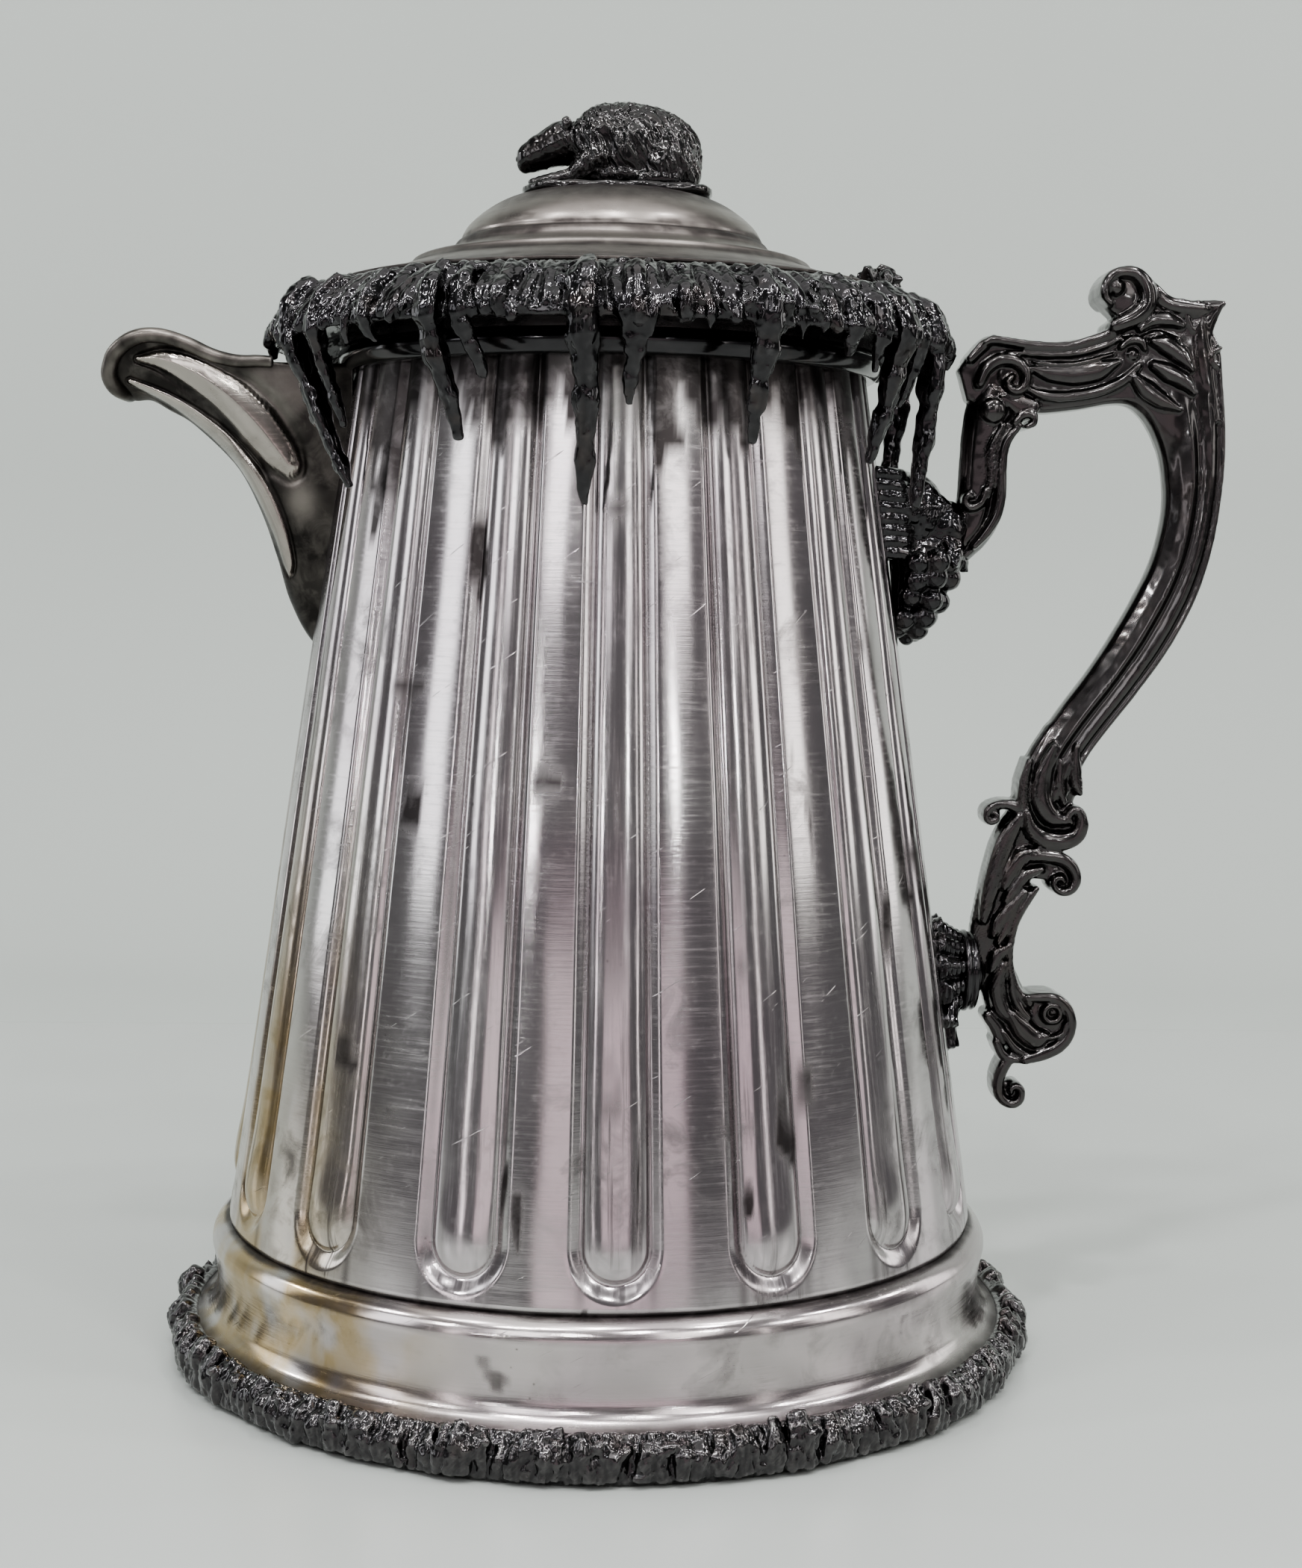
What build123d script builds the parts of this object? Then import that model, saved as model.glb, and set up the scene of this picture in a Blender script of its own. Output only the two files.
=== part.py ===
from build123d import *
import math
import os

# Iced water jug: tapered double-walled jug with fluted outer shell, smooth foot with a cast
# ice-pattern border, beak spout, cast handle, icicle rim border and a hinged domed lid with an
# animal finial.  Millimetres, +Z up, origin on the jug axis at the plane the foot rests on.
# Spout towards -X, handle towards +X.

os.makedirs("parts", exist_ok=True)

# ---- driving dimensions ---------------------------------------------------------------
Z_SEAM = 34.0          # where the fluted shell meets the foot band
R_SEAM = 96.0          # outer radius of the shell at that seam
TAPER = 0.1452         # radius lost per mm of height
Z_SHELL_TOP = 254.0
SHELL_T = 1.6
FLUTES = 16
GROOVE_DEPTH = 0.9
RIB_HALF_DEG = 4.9     # half angle of a rib
COVE_HALF_DEG = 6.4    # half angle of the U groove's outer edge
RIB_END_Z = 41.2       # lowest point of the rib
COVE_END_Z = 36.8      # lowest point of the groove round it
AIR_GAP = 5.0
LINER_T = 1.0
LINER_FLOOR_Z = 46.0
FOOT_R = 111.5
RING_R = 88.2          # outermost radius of the rim border
Z_COLLAR_TOP = 267.5
LID_R = 71.0
HINGE_X, HINGE_Z = 73.6, 265.2
PIN_R = 1.2
HANDLE_W = 13.0        # handle's width across, along Y
SPOUT_Z = 236.0        # throat centre height
THROAT_R = 11.0


def r_out(z):
    return R_SEAM - TAPER * (z - Z_SEAM)


def rev(points):
    """Solid of revolution about Z from a closed (r, z) polygon."""
    face = Plane.XZ * make_face(Polyline(*points, close=True))
    return revolve(face, Axis.Z)


def prism(points, width, y0=None):
    """Closed (x, z) polygon extruded along Y, centred unless y0 is given."""
    y = -width / 2 if y0 is None else y0
    face = Plane.XZ.offset(-y) * make_face(Polyline(*points, close=True))
    return extrude(face, -width)


def bar(x, y, z, r, length, axis="X"):
    """Cylinder centred on a point, along X, Y or Z."""
    rot = {"X": (0, 90, 0), "Y": (90, 0, 0), "Z": (0, 0, 0)}[axis]
    return Pos(x, y, z) * Rot(*rot) * Cylinder(r, length)


def fuse_all(items):
    out = items[0]
    return out + items[1:] if len(items) > 1 else out


def between(a, b, r0, r1=None):
    """Round rod or cone from point a to point b."""
    r1 = r0 if r1 is None else r1
    va, vb = Vector(*a), Vector(*b)
    d = vb - va
    pl = Plane(origin=(va + vb) * 0.5, z_dir=d)
    if abs(r0 - r1) < 1e-6:
        return pl * Cylinder(r0, d.length)
    return pl * Cone(r0, r1, d.length)


def write(name, shape, label=None):
    shape.label = name
    solids = shape.solids()
    if len(solids) == 1:
        s = solids[0]
        s.label = name
        export_step(s, f"parts/{name}.step")
    else:
        export_step(Compound(children=list(solids), label=name), f"parts/{name}.step")


# ---- envelopes ------------------------------------------------------------------------
body_env = rev([(0, 30), (r_out(30), 30), (r_out(262), 262), (0, 262)])

# ---- outer shell with sixteen U-ended grooves that stand the ribs out ------------------
shell = rev([
    (r_out(Z_SEAM) - SHELL_T, Z_SEAM), (r_out(Z_SEAM), Z_SEAM),
    (r_out(Z_SHELL_TOP), Z_SHELL_TOP), (r_out(Z_SHELL_TOP) - SHELL_T, Z_SHELL_TOP),
])
layer = rev([
    (r_out(35.6) - GROOVE_DEPTH, 35.6), (r_out(35.6) + 8, 35.6),
    (r_out(245) + 8, 245), (r_out(245) - GROOVE_DEPTH, 245),
])


def u_face(half_deg, z_end):
    # tapered outline with a round lower end, in the plane x-z seen along the radius
    t = math.tan(math.radians(half_deg))
    zt = 246.0
    wb = r_out(z_end + 8) * t
    wt = r_out(zt) * t
    zc = z_end + wb
    with BuildSketch(Plane.XZ) as sk:
        with BuildLine():
            Line((-wb, zc), (-wt, zt))
            Line((-wt, zt), (wt, zt))
            Line((wt, zt), (wb, zc))
            ThreePointArc((wb, zc), (0, z_end), (-wb, zc))
        make_face()
    return sk.sketch


u_cut = extrude(u_face(COVE_HALF_DEG, COVE_END_Z), 130) - extrude(u_face(RIB_HALF_DEG, RIB_END_Z), 130)
u_cut = u_cut & layer
grooves = [Rot(0, 0, k * 360 / FLUTES) * u_cut for k in range(FLUTES)]
for g in grooves:
    shell = shell - g
throat_hole = bar(-66, 0, SPOUT_Z, THROAT_R + 1.0, 44)
shell = shell - throat_hole
write("outer_shell", shell)

# ---- foot ------------------------------------------------------------------------------
foot_band = rev([
    (92.5, 34.0), (96.2, 34.0), (98.6, 33.2), (100.2, 31.4), (100.4, 29.6), (99.6, 28.2),
    (99.3, 27.0), (99.1, 20.0), (99.5, 15.0), (100.6, 12.0), (102.6, 10.4), (104.5, 9.6),
    (104.5, 8.2), (101.5, 8.2), (98.8, 10.5), (97.7, 14.0), (97.3, 20.0), (97.4, 28.0),
    (95.0, 31.0), (92.5, 32.0),
])
write("foot_band", foot_band)

border = rev([
    (97.0, 0.0), (109.0, 0.0), (110.2, 3.0), (109.4, 9.0), (107.0, 12.4), (104.5, 12.4),
    (104.5, 8.2), (97.0, 8.2),
])
lumps = []
n_l = 44
for k in range(n_l):
    a = 360.0 / n_l * k
    h = 10.0 + 1.6 * math.sin(k * 2.3)
    rr = 108.2 + 0.3 * math.sin(k * 1.7)
    lumps.append(Rot(0, 0, a) * Pos(rr, 0, h / 2) * Cylinder(3.0, h))
border = border + lumps
write("foot_ice_border", border)

base_plate = rev([(0, 0), (97.0, 0), (97.0, 3.0), (94.0, 3.0), (92.0, 1.6), (0, 1.6)])
write("base_plate", base_plate)

# ---- liner -----------------------------------------------------------------------------
def r_lin(z):
    return r_out(z) - SHELL_T - AIR_GAP

rl_top = r_lin(254)
liner = rev([
    (0, LINER_FLOOR_Z - LINER_T), (r_lin(50) - 6, LINER_FLOOR_Z - LINER_T),
    (r_lin(50) - 1.5, LINER_FLOOR_Z + 1.2), (r_lin(52), 52), (rl_top, 254), (rl_top, Z_COLLAR_TOP),
    (rl_top - LINER_T, Z_COLLAR_TOP), (rl_top - LINER_T, 254), (r_lin(52) - LINER_T, 52),
    (r_lin(50) - 2.4, LINER_FLOOR_Z + 2.2), (r_lin(50) - 6.4, LINER_FLOOR_Z), (0, LINER_FLOOR_Z),
])
liner = liner - throat_hole
write("inner_liner", liner)

# ---- collar that joins shell, liner and rim --------------------------------------------
collar = rev([
    (rl_top, Z_COLLAR_TOP), (68.5, Z_COLLAR_TOP), (68.5, 254.0), (62.0, 254.0), (62.0, 256.0),
    (66.3, 256.0), (66.3, 265.5), (rl_top, 265.5),
])
write("top_collar", collar)
neck = rev([
    (r_out(248), 248.0), (r_out(248) + 1.9, 248.6), (r_out(250) + 3.0, 250.4),
    (r_out(252) + 3.2, 252.2), (r_out(254) + 2.6, 254.0), (r_out(254), 254.0),
])
write("neck_moulding", neck)

# ---- cast rim border with hanging icicles ----------------------------------------------
roof = rev([
    (68.5, 260.5), (68.5, 267.2), (71.7, 267.2), (71.7, 268.8), (73.6, 269.3), (79.5, 265.6),
    (84.6, 261.6), (87.4, 256.5), (88.2, 253.0), (87.8, 251.0), (85.8, 251.0), (83.0, 257.6),
    (78.0, 262.0), (72.0, 264.4), (70.6, 260.5),
])
# azimuth, tip height, tip radius, root radius of each icicle
ICICLES = [
    (-152, 217, 74.1, 4.6), (-143, 231, 77.9, 3.2), (-118, 227, 76.8, 4.2), (-109, 240, 80.3, 3.2), (-95, 212, 72.8, 4.6),
    (-87.5, 234, 78.7, 3.4), (-67, 227, 76.8, 4.2), (-51, 248, 82.5, 3.6), (-40, 224, 76, 4.4), (-21, 214, 79, 4.8),
    (158, 219, 74.7, 4.4), (140, 236, 79.3, 3.4), (122, 224, 76, 4.4), (104, 238, 79.8, 3.2), (92, 213, 73.1, 4.6),
    (71, 230, 77.6, 4), (55, 242, 80.9, 3.4), (38, 222, 75.5, 4.4), (21, 215, 79, 4.6),
]
icicles = []
for a, zt, rt, w in ICICLES:
    ca, sa = math.cos(math.radians(a)), math.sin(math.radians(a))
    top = (84.8 * ca, 84.8 * sa, 256.5)
    tip = (rt * ca, rt * sa, zt + 1.6)
    icicles.append(between(top, tip, w * 0.85, 1.6))
    icicles.append(Pos(*tip) * Sphere(1.6))
rim = roof + icicles
hinge_gap = Pos(77.0, 0, 267) * Box(15.2, 33.0, 14.0)
rim = rim - hinge_gap
rim = rim - body_env
write("rim_ice_border", rim)

# ---- spout -----------------------------------------------------------------------------
# stations: x, top z, keel z, half width at the top, wall offset
ST = [
    (-62.0, 250.4, 170.0, 17.0), (-77.5, 250.4, 181.0, 15.8), (-81.0, 250.4, 188.1, 15.4),
    (-84.5, 250.6, 200.5, 15.0), (-88.6, 251.0, 213.3, 14.6), (-95.0, 251.8, 224.6, 14.0),
    (-105.0, 255.4, 234.6, 12.8), (-113.0, 257.2, 239.6, 11.2), (-120.0, 256.6, 242.0, 9.0),
    (-126.0, 252.6, 243.6, 5.6),
]


def section(x, zt, zk, w, top_up=0.0):
    h = zt - zk
    pts = [(w, zt + top_up), (w, zt - 0.18 * h), (w * 0.82, zt - 0.42 * h), (w * 0.5, zt - 0.70 * h),
           (w * 0.16, zk + 0.4), (-w * 0.16, zk + 0.4), (-w * 0.5, zt - 0.70 * h),
           (-w * 0.82, zt - 0.42 * h), (-w, zt - 0.18 * h), (-w, zt + top_up)]
    face = make_face(Polyline(*[Vector(x, y, z) for y, z in pts], close=True))
    return face


outer_sp = loft([section(*s) for s in ST], ruled=True)
ST_IN = [(x, zt, zk + 2.4 if i > 1 else zk + 5.0, w - 1.6) for i, (x, zt, zk, w) in enumerate(ST)]
ST_IN[-1] = (-124.3, 253.4, 246.4, 3.6)
inner_sp = loft([section(x, zt, zk, w, 8.0) for x, zt, zk, w in ST_IN], ruled=True)
spout = outer_sp - inner_sp - body_env - rim - collar - neck
near = spout & (Pos(-100, -60, 215) * Box(120, 120, 140))
far = spout & (Pos(-100, 60, 215) * Box(120, 120, 140))
near = max(near.solids(), key=lambda s: s.volume)
far = max(far.solids(), key=lambda s: s.volume)
write("spout_half_right", near)
write("spout_half_left", far)

# rolled bead along the spout's edge
bead_pts = [(-89.5, 14.6, 251.6), (-95.0, 14.0, 252.6), (-105.0, 12.8, 256.2), (-113.0, 11.2, 258.0),
            (-120.0, 9.0, 257.2), (-126.0, 5.2, 252.8), (-128.4, 0.0, 246.4)]
full = bead_pts + [(x, -y, z) for x, y, z in reversed(bead_pts[:-1])]
segs = []
for p, q in zip(full[:-1], full[1:]):
    segs.append(between(p, q, 1.5))
for p in full:
    segs.append(Pos(*p) * Sphere(1.5))
bead = fuse_all(segs) - near - far - rim
bead = max(bead.solids(), key=lambda s: s.volume)
write("spout_edge_bead", bead)

throat = bar(-66, 0, SPOUT_Z, THROAT_R + 1.0, 44) - bar(-66, 0, SPOUT_Z, THROAT_R, 60)
lin_env = rev([(0, 45), (r_lin(45) - LINER_T, 45), (rl_top - LINER_T, 254), (rl_top - LINER_T, 262), (0, 262)])
throat = (throat & body_env) - lin_env
throat = max(throat.solids(), key=lambda s: s.volume)
write("spout_throat", throat)
strainer = bar(-61.6, 0, SPOUT_Z, THROAT_R, 1.0)
holes = [bar(-61.6, 0, SPOUT_Z, 1.1, 4)]
for ring, n in ((3.6, 6), (7.2, 12)):
    for k in range(n):
        a = 2 * math.pi * k / n
        holes.append(bar(-61.6, ring * math.cos(a), SPOUT_Z + ring * math.sin(a), 1.1, 4))
strainer = strainer - holes
write("spout_strainer", strainer)

# ---- lid -------------------------------------------------------------------------------
LID_OUT = [(LID_R, 267.9), (LID_R, 269.2), (65.0, 270.4), (59.0, 272.0), (54.0, 273.8), (50.5, 275.0),
           (48.6, 276.4), (46.0, 277.2), (43.0, 277.8), (40.8, 279.0), (39.4, 280.2), (38.4, 281.0),
           (37.8, 282.6), (36.0, 285.2), (33.0, 288.3), (29.0, 291.0), (25.0, 292.6), (21.0, 293.6),
           (2.05, 294.0)]
LID_IN = [(r - 0.7, z - 1.25) for r, z in LID_OUT[1:-1]]
LID_IN = [(LID_R - 1.2, 267.9)] + LID_IN + [(2.05, 292.75)]
lid = rev(LID_OUT + list(reversed(LID_IN)))
PLUG_R = rl_top - LINER_T - 0.9


def under(r):
    pts = LID_IN
    for (r0, z0), (r1, z1) in zip(pts[:-1], pts[1:]):
        if min(r0, r1) <= r <= max(r0, r1) and r0 != r1:
            return z0 + (z1 - z0) * (r - r0) / (r1 - r0)
    return 271.0


# lining pan: flat floor and a wall that meets the underside of the lid
u0, u1 = under(PLUG_R), under(PLUG_R - 1.0)
inner_pts = [p for p in LID_IN if PLUG_R - 1.0 < p[0] < PLUG_R]
lining = rev([(0, 261.6), (PLUG_R - 1.2, 261.6), (PLUG_R, 262.8), (PLUG_R, u0)] + inner_pts +
             [(PLUG_R - 1.0, u1), (PLUG_R - 1.0, 263.2), (PLUG_R - 1.6, 262.6), (0, 262.6)])
write("lid_lining", lining)

# strap hinge
def knuckle(yc, w, hole):
    return bar(HINGE_X, yc, HINGE_Z, 2.5, w, "Y") - bar(HINGE_X, yc, HINGE_Z, hole, w + 2, "Y")


fixed = None
for yc in (-9.6, 9.6):
    k = knuckle(yc, 8.8, PIN_R + 0.02)
    web = prism([(68.5, 259.0), (74.4, 259.0), (75.4, 263.6), (72.0, 263.6), (68.5, 264.4)], 8.8, yc - 4.4)
    web = web - bar(HINGE_X, yc, HINGE_Z, 2.3, 12, "Y")
    piece = k + web
    fixed = piece if fixed is None else fixed + piece
plate = prism([(68.5, 256.6), (70.2, 256.6), (70.2, 261.0), (68.5, 261.0)], 30.0)
fixed = fixed + plate
write("hinge_fixed_leaf", fixed - rim)

lid_leaf = knuckle(0, 9.6, PIN_R + 0.07)
strap = prism([(58.5, 272.2), (63.0, 271.0), (71.2, 269.2), (71.4, 267.7), (71.9, 266.6), (73.6, 267.7), (75.0, 268.4),
               (74.6, 269.9), (72.4, 270.9), (64.0, 272.9), (58.5, 274.2)], 9.6)
strap = (strap - bar(HINGE_X, 0, HINGE_Z, 2.2, 12, "Y")) - lid
lid_leaf = lid_leaf + strap
lid_leaf = lid_leaf - lid
lid_leaf = max(lid_leaf.solids(), key=lambda s: s.volume)
write("hinge_lid_leaf", lid_leaf)
pin = bar(HINGE_X, 0, HINGE_Z, PIN_R, 28.6, "Y")
pin = pin + (Pos(HINGE_X, 14.5, HINGE_Z) * Sphere(1.9) - Pos(HINGE_X, 4.0, HINGE_Z) * Box(6, 20.04, 6))
pin = pin + (Pos(HINGE_X, -14.5, HINGE_Z) * Sphere(1.9) - Pos(HINGE_X, -4.0, HINGE_Z) * Box(6, 20.04, 6))
write("hinge_pin", pin)
write("lid_shell", lid)

# thumbpiece: leaf cluster standing on the strap
thumb = prism([(60.2, 272.0), (72.6, 270.0), (73.4, 272.0), (72.8, 275.6), (69.6, 278.4), (66.6, 277.0),
               (63.6, 274.6), (60.6, 274.4)], 5.0)
thumb = thumb + prism([(61.0, 273.4), (71.8, 271.6), (71.4, 275.0), (68.6, 276.6), (64.4, 274.8)], 11.0)
thumb = thumb - lid_leaf - lid
thumb = max(thumb.solids(), key=lambda s: s.volume)
write("thumbpiece", thumb)

# ---- finial ----------------------------------------------------------------------------
finial_plate = prism([(-22.0, 294.0), (25.2, 294.0), (25.2, 295.6), (-21.0, 295.9)], 27.0)
finial_plate = finial_plate & (Pos(1.6, 0, 295) * Cylinder(23.8, 6))
finial_plate = finial_plate - bar(0, 0, 295, 2.05, 10, "Z")
write("finial_plate", finial_plate)
bear_items = [
    between((-7, 0, 306.5), (13, 0, 306.0), 8.6, 9.2), Pos(13, 0, 305.6) * Sphere(9.2),
    Pos(2, 0, 308.8) * Sphere(8.8), Pos(-7, 0, 306.6) * Sphere(8.4),
    between((-8, 0, 307), (-15.5, 0, 305.2), 7.0, 5.4), Pos(-15.0, 0, 305.6) * Sphere(5.6),
    between((-16, 0, 304.2), (-22.4, 0, 301.8), 4.2, 2.4), Pos(-22.0, 0, 301.8) * Sphere(2.4),
    Pos(-12.4, 4.2, 310.8) * Sphere(1.9), Pos(-12.4, -4.2, 310.8) * Sphere(1.9),
]
for s in (-1, 1):
    bear_items += [
        between((-8, s * 5.0, 304), (-13.0, s * 6.0, 296.6), 4.0, 3.0),
        between((-12.5, s * 6.0, 297.4), (-18.5, s * 6.2, 296.9), 2.2, 1.9),
        between((14, s * 5.6, 303), (17.0, s * 6.6, 297.4), 5.4, 3.6),
        between((17, s * 6.6, 297.6), (11.5, s * 7.4, 297.4), 2.4, 2.0),
    ]
bear = fuse_all(bear_items)
bear = bear & (Pos(0, 0, 345.6 + 0.35) * Box(120, 60, 100))
bear = bear - finial_plate - bar(0, 0, 299, 2.05, 8, "Z")
bear = max(bear.solids(), key=lambda s: s.volume)
write("finial_bear", bear)
stud = bar(0, 0, (284.0 + 302.9) / 2, 2.0, 302.9 - 284.0, "Z")
write("finial_stud", stud)
washer = rev([(2.05, 291.55), (7.0, 291.55), (7.0, 292.6), (2.05, 292.6)]) - lid
washer = max(washer.solids(), key=lambda s: s.volume)
write("finial_washer", washer)
with BuildPart() as nut_b:
    with BuildSketch(Plane.XY.offset(288.2)):
        RegularPolygon(4.0, 6)
        Circle(2.0, mode=Mode.SUBTRACT)
    extrude(amount=3.3)
write("finial_nut", nut_b.part)

# ---- handle ----------------------------------------------------------------------------
HANDLE = [
    (89.4, 252.0), (92.6, 257.2), (96.4, 260.9), (103.0, 260.2), (111.1, 259.5), (121.3, 261.0), (127.2, 264.4),
    (124.4, 267.6), (123.7, 271.7), (125.6, 275.9), (130.6, 278.2), (136.4, 275.6), (141.1, 270.9),
    (150.0, 271.5), (157.0, 270.2), (154.6, 262.6), (156.3, 257.9), (158.0, 246.0), (158.5, 234.8),
    (157.7, 218.7), (154.4, 201.1), (147.9, 184.7), (135.2, 166.3), (125.3, 154.1), (123.4, 144.7),
    (125.3, 135.5), (120.8, 129.6), (124.1, 122.1), (118.7, 116.9), (112.6, 117.6), (108.1, 110.7),
    (107.1, 101.4), (110.0, 91.6), (116.0, 89.6), (122.0, 88.6), (124.6, 83.0), (121.3, 76.4),
    (113.6, 73.4), (112.0, 67.0), (107.3, 60.5), (103.0, 63.0), (101.0, 72.0), (99.8, 84.0),
    (97.6, 87.0), (97.6, 106.0), (98.6, 110.0), (100.2, 124.0), (98.4, 134.0), (98.4, 139.0), (101.9, 142.2),
    (106.0, 143.0), (111.9, 156.9), (118.6, 168.2), (128.6, 180.4), (138.2, 198.9), (142.2, 210.0),
    (143.4, 220.5), (141.8, 231.5), (138.5, 238.3), (132.8, 243.6), (119.1, 242.4), (109.5, 241.2),
    (108.4, 237.0), (103.6, 234.6), (102.4, 226.0), (102.1, 219.0), (100.0, 211.5), (94.9, 204.9), (91.6, 208.0),
    (92.6, 222.0), (91.4, 238.0), (89.2, 248.0),
]
handle = prism(HANDLE, HANDLE_W)
handle = handle + bar(130.8, 0, 270.6, 7.4, 18.0, "Y") + bar(118.4, 0, 82.6, 6.0, 16.0, "Y")
handle = handle - rim
handle = max(handle.solids(), key=lambda s: s.volume)
write("handle", handle)

# upper bracket: leaf plate against the shell and a grape bunch under it
leaf_plate = prism([(66.0, 225.0), (80.0, 224.0), (92.0, 219.0), (90.0, 206.0), (80.0, 203.0), (72.0, 205.0), (70.0, 214.0)], 22.0)
leaf_plate = leaf_plate - body_env - handle
leaf_plate = max(leaf_plate.solids(), key=lambda s: s.volume)
icic_clear = rim
leaf_plate = leaf_plate - icic_clear
leaf_plate = max(leaf_plate.solids(), key=lambda s: s.volume)
write("upper_bracket_leaf", leaf_plate)
grapes = [between((81, 0, 203.5), (76.5, 0, 184.0), 8.5, 2.4)]
rows = [(202.0, 88.0, 4, 9.0), (197.5, 86.8, 3, 6.6), (193.0, 84.4, 4, 7.2), (188.4, 81.4, 3, 4.8), (184.4, 78.8, 1, 0.0)]
for z, x, n, spread in rows:
    for k in range(n):
        y = 0.0 if n == 1 else -spread + 2 * spread * k / (n - 1)
        xx = x - abs(y) * 0.35
        grapes.append(Pos(xx, y, z) * Sphere(3.5))
grape = fuse_all(grapes) - body_env - leaf_plate - handle
grape = max(grape.solids(), key=lambda s: s.volume)
write("upper_bracket_grapes", grape)

# lower bracket: fluted scallop shell from the wall to the handle's collar
shell_b = Pos(88.9, 0, 96.0) * Rot(0, 90, 0) * Cone(15.0, 10.4, 9.4)
ribs = []
for k in range(-4, 5):
    a = math.radians(90 + k * 20)
    ribs.append(between((84.0, 15.0 * math.cos(a), 96 + 13.6 * math.sin(a)), (93.4, 9.6 * math.cos(a), 96 + 9.6 * math.sin(a)), 2.2, 1.5))
    if abs(k) <= 4:
        ribs.append(between((85.0, 13.0 * math.cos(a), 96 - 22.0 * math.sin(a)), (93.4, 9.6 * math.cos(a), 96 - 9.6 * math.sin(a)), 2.2, 1.5))
lower = shell_b + ribs
lower = lower - body_env - (Pos(93.6 + 20, 0, 96) * Box(40, 80, 80))
lower = max(lower.solids(), key=lambda s: s.volume)
write("lower_bracket_shell", lower)
collar_ring = bar(95.6, 0, 96.5, 10.6, 4.0)
write("handle_collar", collar_ring)
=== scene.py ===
import bpy
import math
import numpy as np
from mathutils import Vector, Matrix


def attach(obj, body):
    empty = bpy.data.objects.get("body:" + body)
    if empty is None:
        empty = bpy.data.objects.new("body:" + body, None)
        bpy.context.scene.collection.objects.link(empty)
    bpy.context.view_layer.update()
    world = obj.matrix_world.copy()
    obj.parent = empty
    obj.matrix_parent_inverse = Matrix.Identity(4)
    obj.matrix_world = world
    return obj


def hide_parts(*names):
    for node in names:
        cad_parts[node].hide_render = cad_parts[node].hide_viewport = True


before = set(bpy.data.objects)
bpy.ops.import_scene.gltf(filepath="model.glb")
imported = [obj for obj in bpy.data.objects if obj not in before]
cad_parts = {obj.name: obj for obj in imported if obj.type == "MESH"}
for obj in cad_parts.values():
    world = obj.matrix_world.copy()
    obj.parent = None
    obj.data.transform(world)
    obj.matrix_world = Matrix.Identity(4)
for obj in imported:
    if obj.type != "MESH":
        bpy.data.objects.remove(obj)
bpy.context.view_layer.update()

scene = bpy.context.scene
TAU = 2 * math.pi
PI = math.pi

# ------------------------------------------------------------------ noise (seeded, vectorised)


def _h(ix, iy, iz, s):
    n = (ix.astype(np.int64) * 374761393 + iy.astype(np.int64) * 668265263
         + iz.astype(np.int64) * 2246822519 + s * 3266489917) & 0xFFFFFFFF
    n = ((n ^ (n >> 13)) * 1274126177) & 0xFFFFFFFF
    n = n ^ (n >> 16)
    return n / 4294967295.0


def vnoise(P, scale=1.0, seed=0):
    Q = np.asarray(P, float) / scale + 1000.0
    i = np.floor(Q).astype(np.int64)
    f = Q - i
    f = f * f * f * (f * (f * 6 - 15) + 10)
    out = 0
    for dx in (0, 1):
        wx = f[:, 0] if dx else 1 - f[:, 0]
        for dy in (0, 1):
            wy = f[:, 1] if dy else 1 - f[:, 1]
            for dz in (0, 1):
                wz = f[:, 2] if dz else 1 - f[:, 2]
                out = out + wx * wy * wz * _h(i[:, 0] + dx, i[:, 1] + dy, i[:, 2] + dz, seed)
    return out * 2 - 1


def fbm(P, scale=1.0, seed=0, octaves=3):
    out, a, t = 0, 1.0, 0
    for k in range(octaves):
        out = out + a * vnoise(P, scale / 2 ** k, seed + k * 17)
        t += a
        a *= 0.5
    return out / t


def sm(e0, e1, x):
    t = np.clip((np.asarray(x, float) - e0) / (e1 - e0), 0, 1)
    return t * t * (3 - 2 * t)


def lerp(a, b, t):
    return a + (b - a) * t


def crom(P, n=8, closed=False):
    P = np.asarray(P, float)
    if closed:
        Q = np.vstack([P[-1:], P, P[:2]])
        m = len(P)
    else:
        Q = np.vstack([2 * P[0] - P[1], P, 2 * P[-1] - P[-2]])
        m = len(P) - 1
    out = []
    t = np.linspace(0, 1, n, endpoint=False)[:, None]
    for i in range(m):
        p0, p1, p2, p3 = Q[i:i + 4]
        out.append(0.5 * (2 * p1 + (p2 - p0) * t + (2 * p0 - 5 * p1 + 4 * p2 - p3) * t ** 2
                          + (3 * p1 - p0 - 3 * p2 + p3) * t ** 3))
    out = np.vstack(out)
    return out if closed else np.vstack([out, P[-1:]])


def resample(P, n):
    P = np.asarray(P, float)
    d = np.r_[0, np.cumsum(np.linalg.norm(np.diff(P, axis=0), axis=1))]
    s = np.linspace(0, d[-1], n)
    return np.stack([np.interp(s, d, P[:, k]) for k in range(P.shape[1])], -1)


# ------------------------------------------------------------------ mesh building (mm)


def grid_faces(nu, nv, wu=False, wv=False, flip=False):
    u = np.arange(nu if wu else nu - 1)
    v = np.arange(nv if wv else nv - 1)
    U, V = np.meshgrid(u, v, indexing="ij")
    U, V = U.ravel(), V.ravel()
    U1, V1 = (U + 1) % nu, (V + 1) % nv
    F = np.stack([U * nv + V, U1 * nv + V, U1 * nv + V1, U * nv + V1], -1)
    return F[:, ::-1] if flip else F


def merge(parts):
    Vs, Fs, o = [], [], 0
    for V, F in parts:
        V = np.asarray(V, float)
        Vs.append(V)
        Fs.extend([tuple(int(i) + o for i in f) for f in F])
        o += len(V)
    return np.vstack(Vs), Fs


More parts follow.
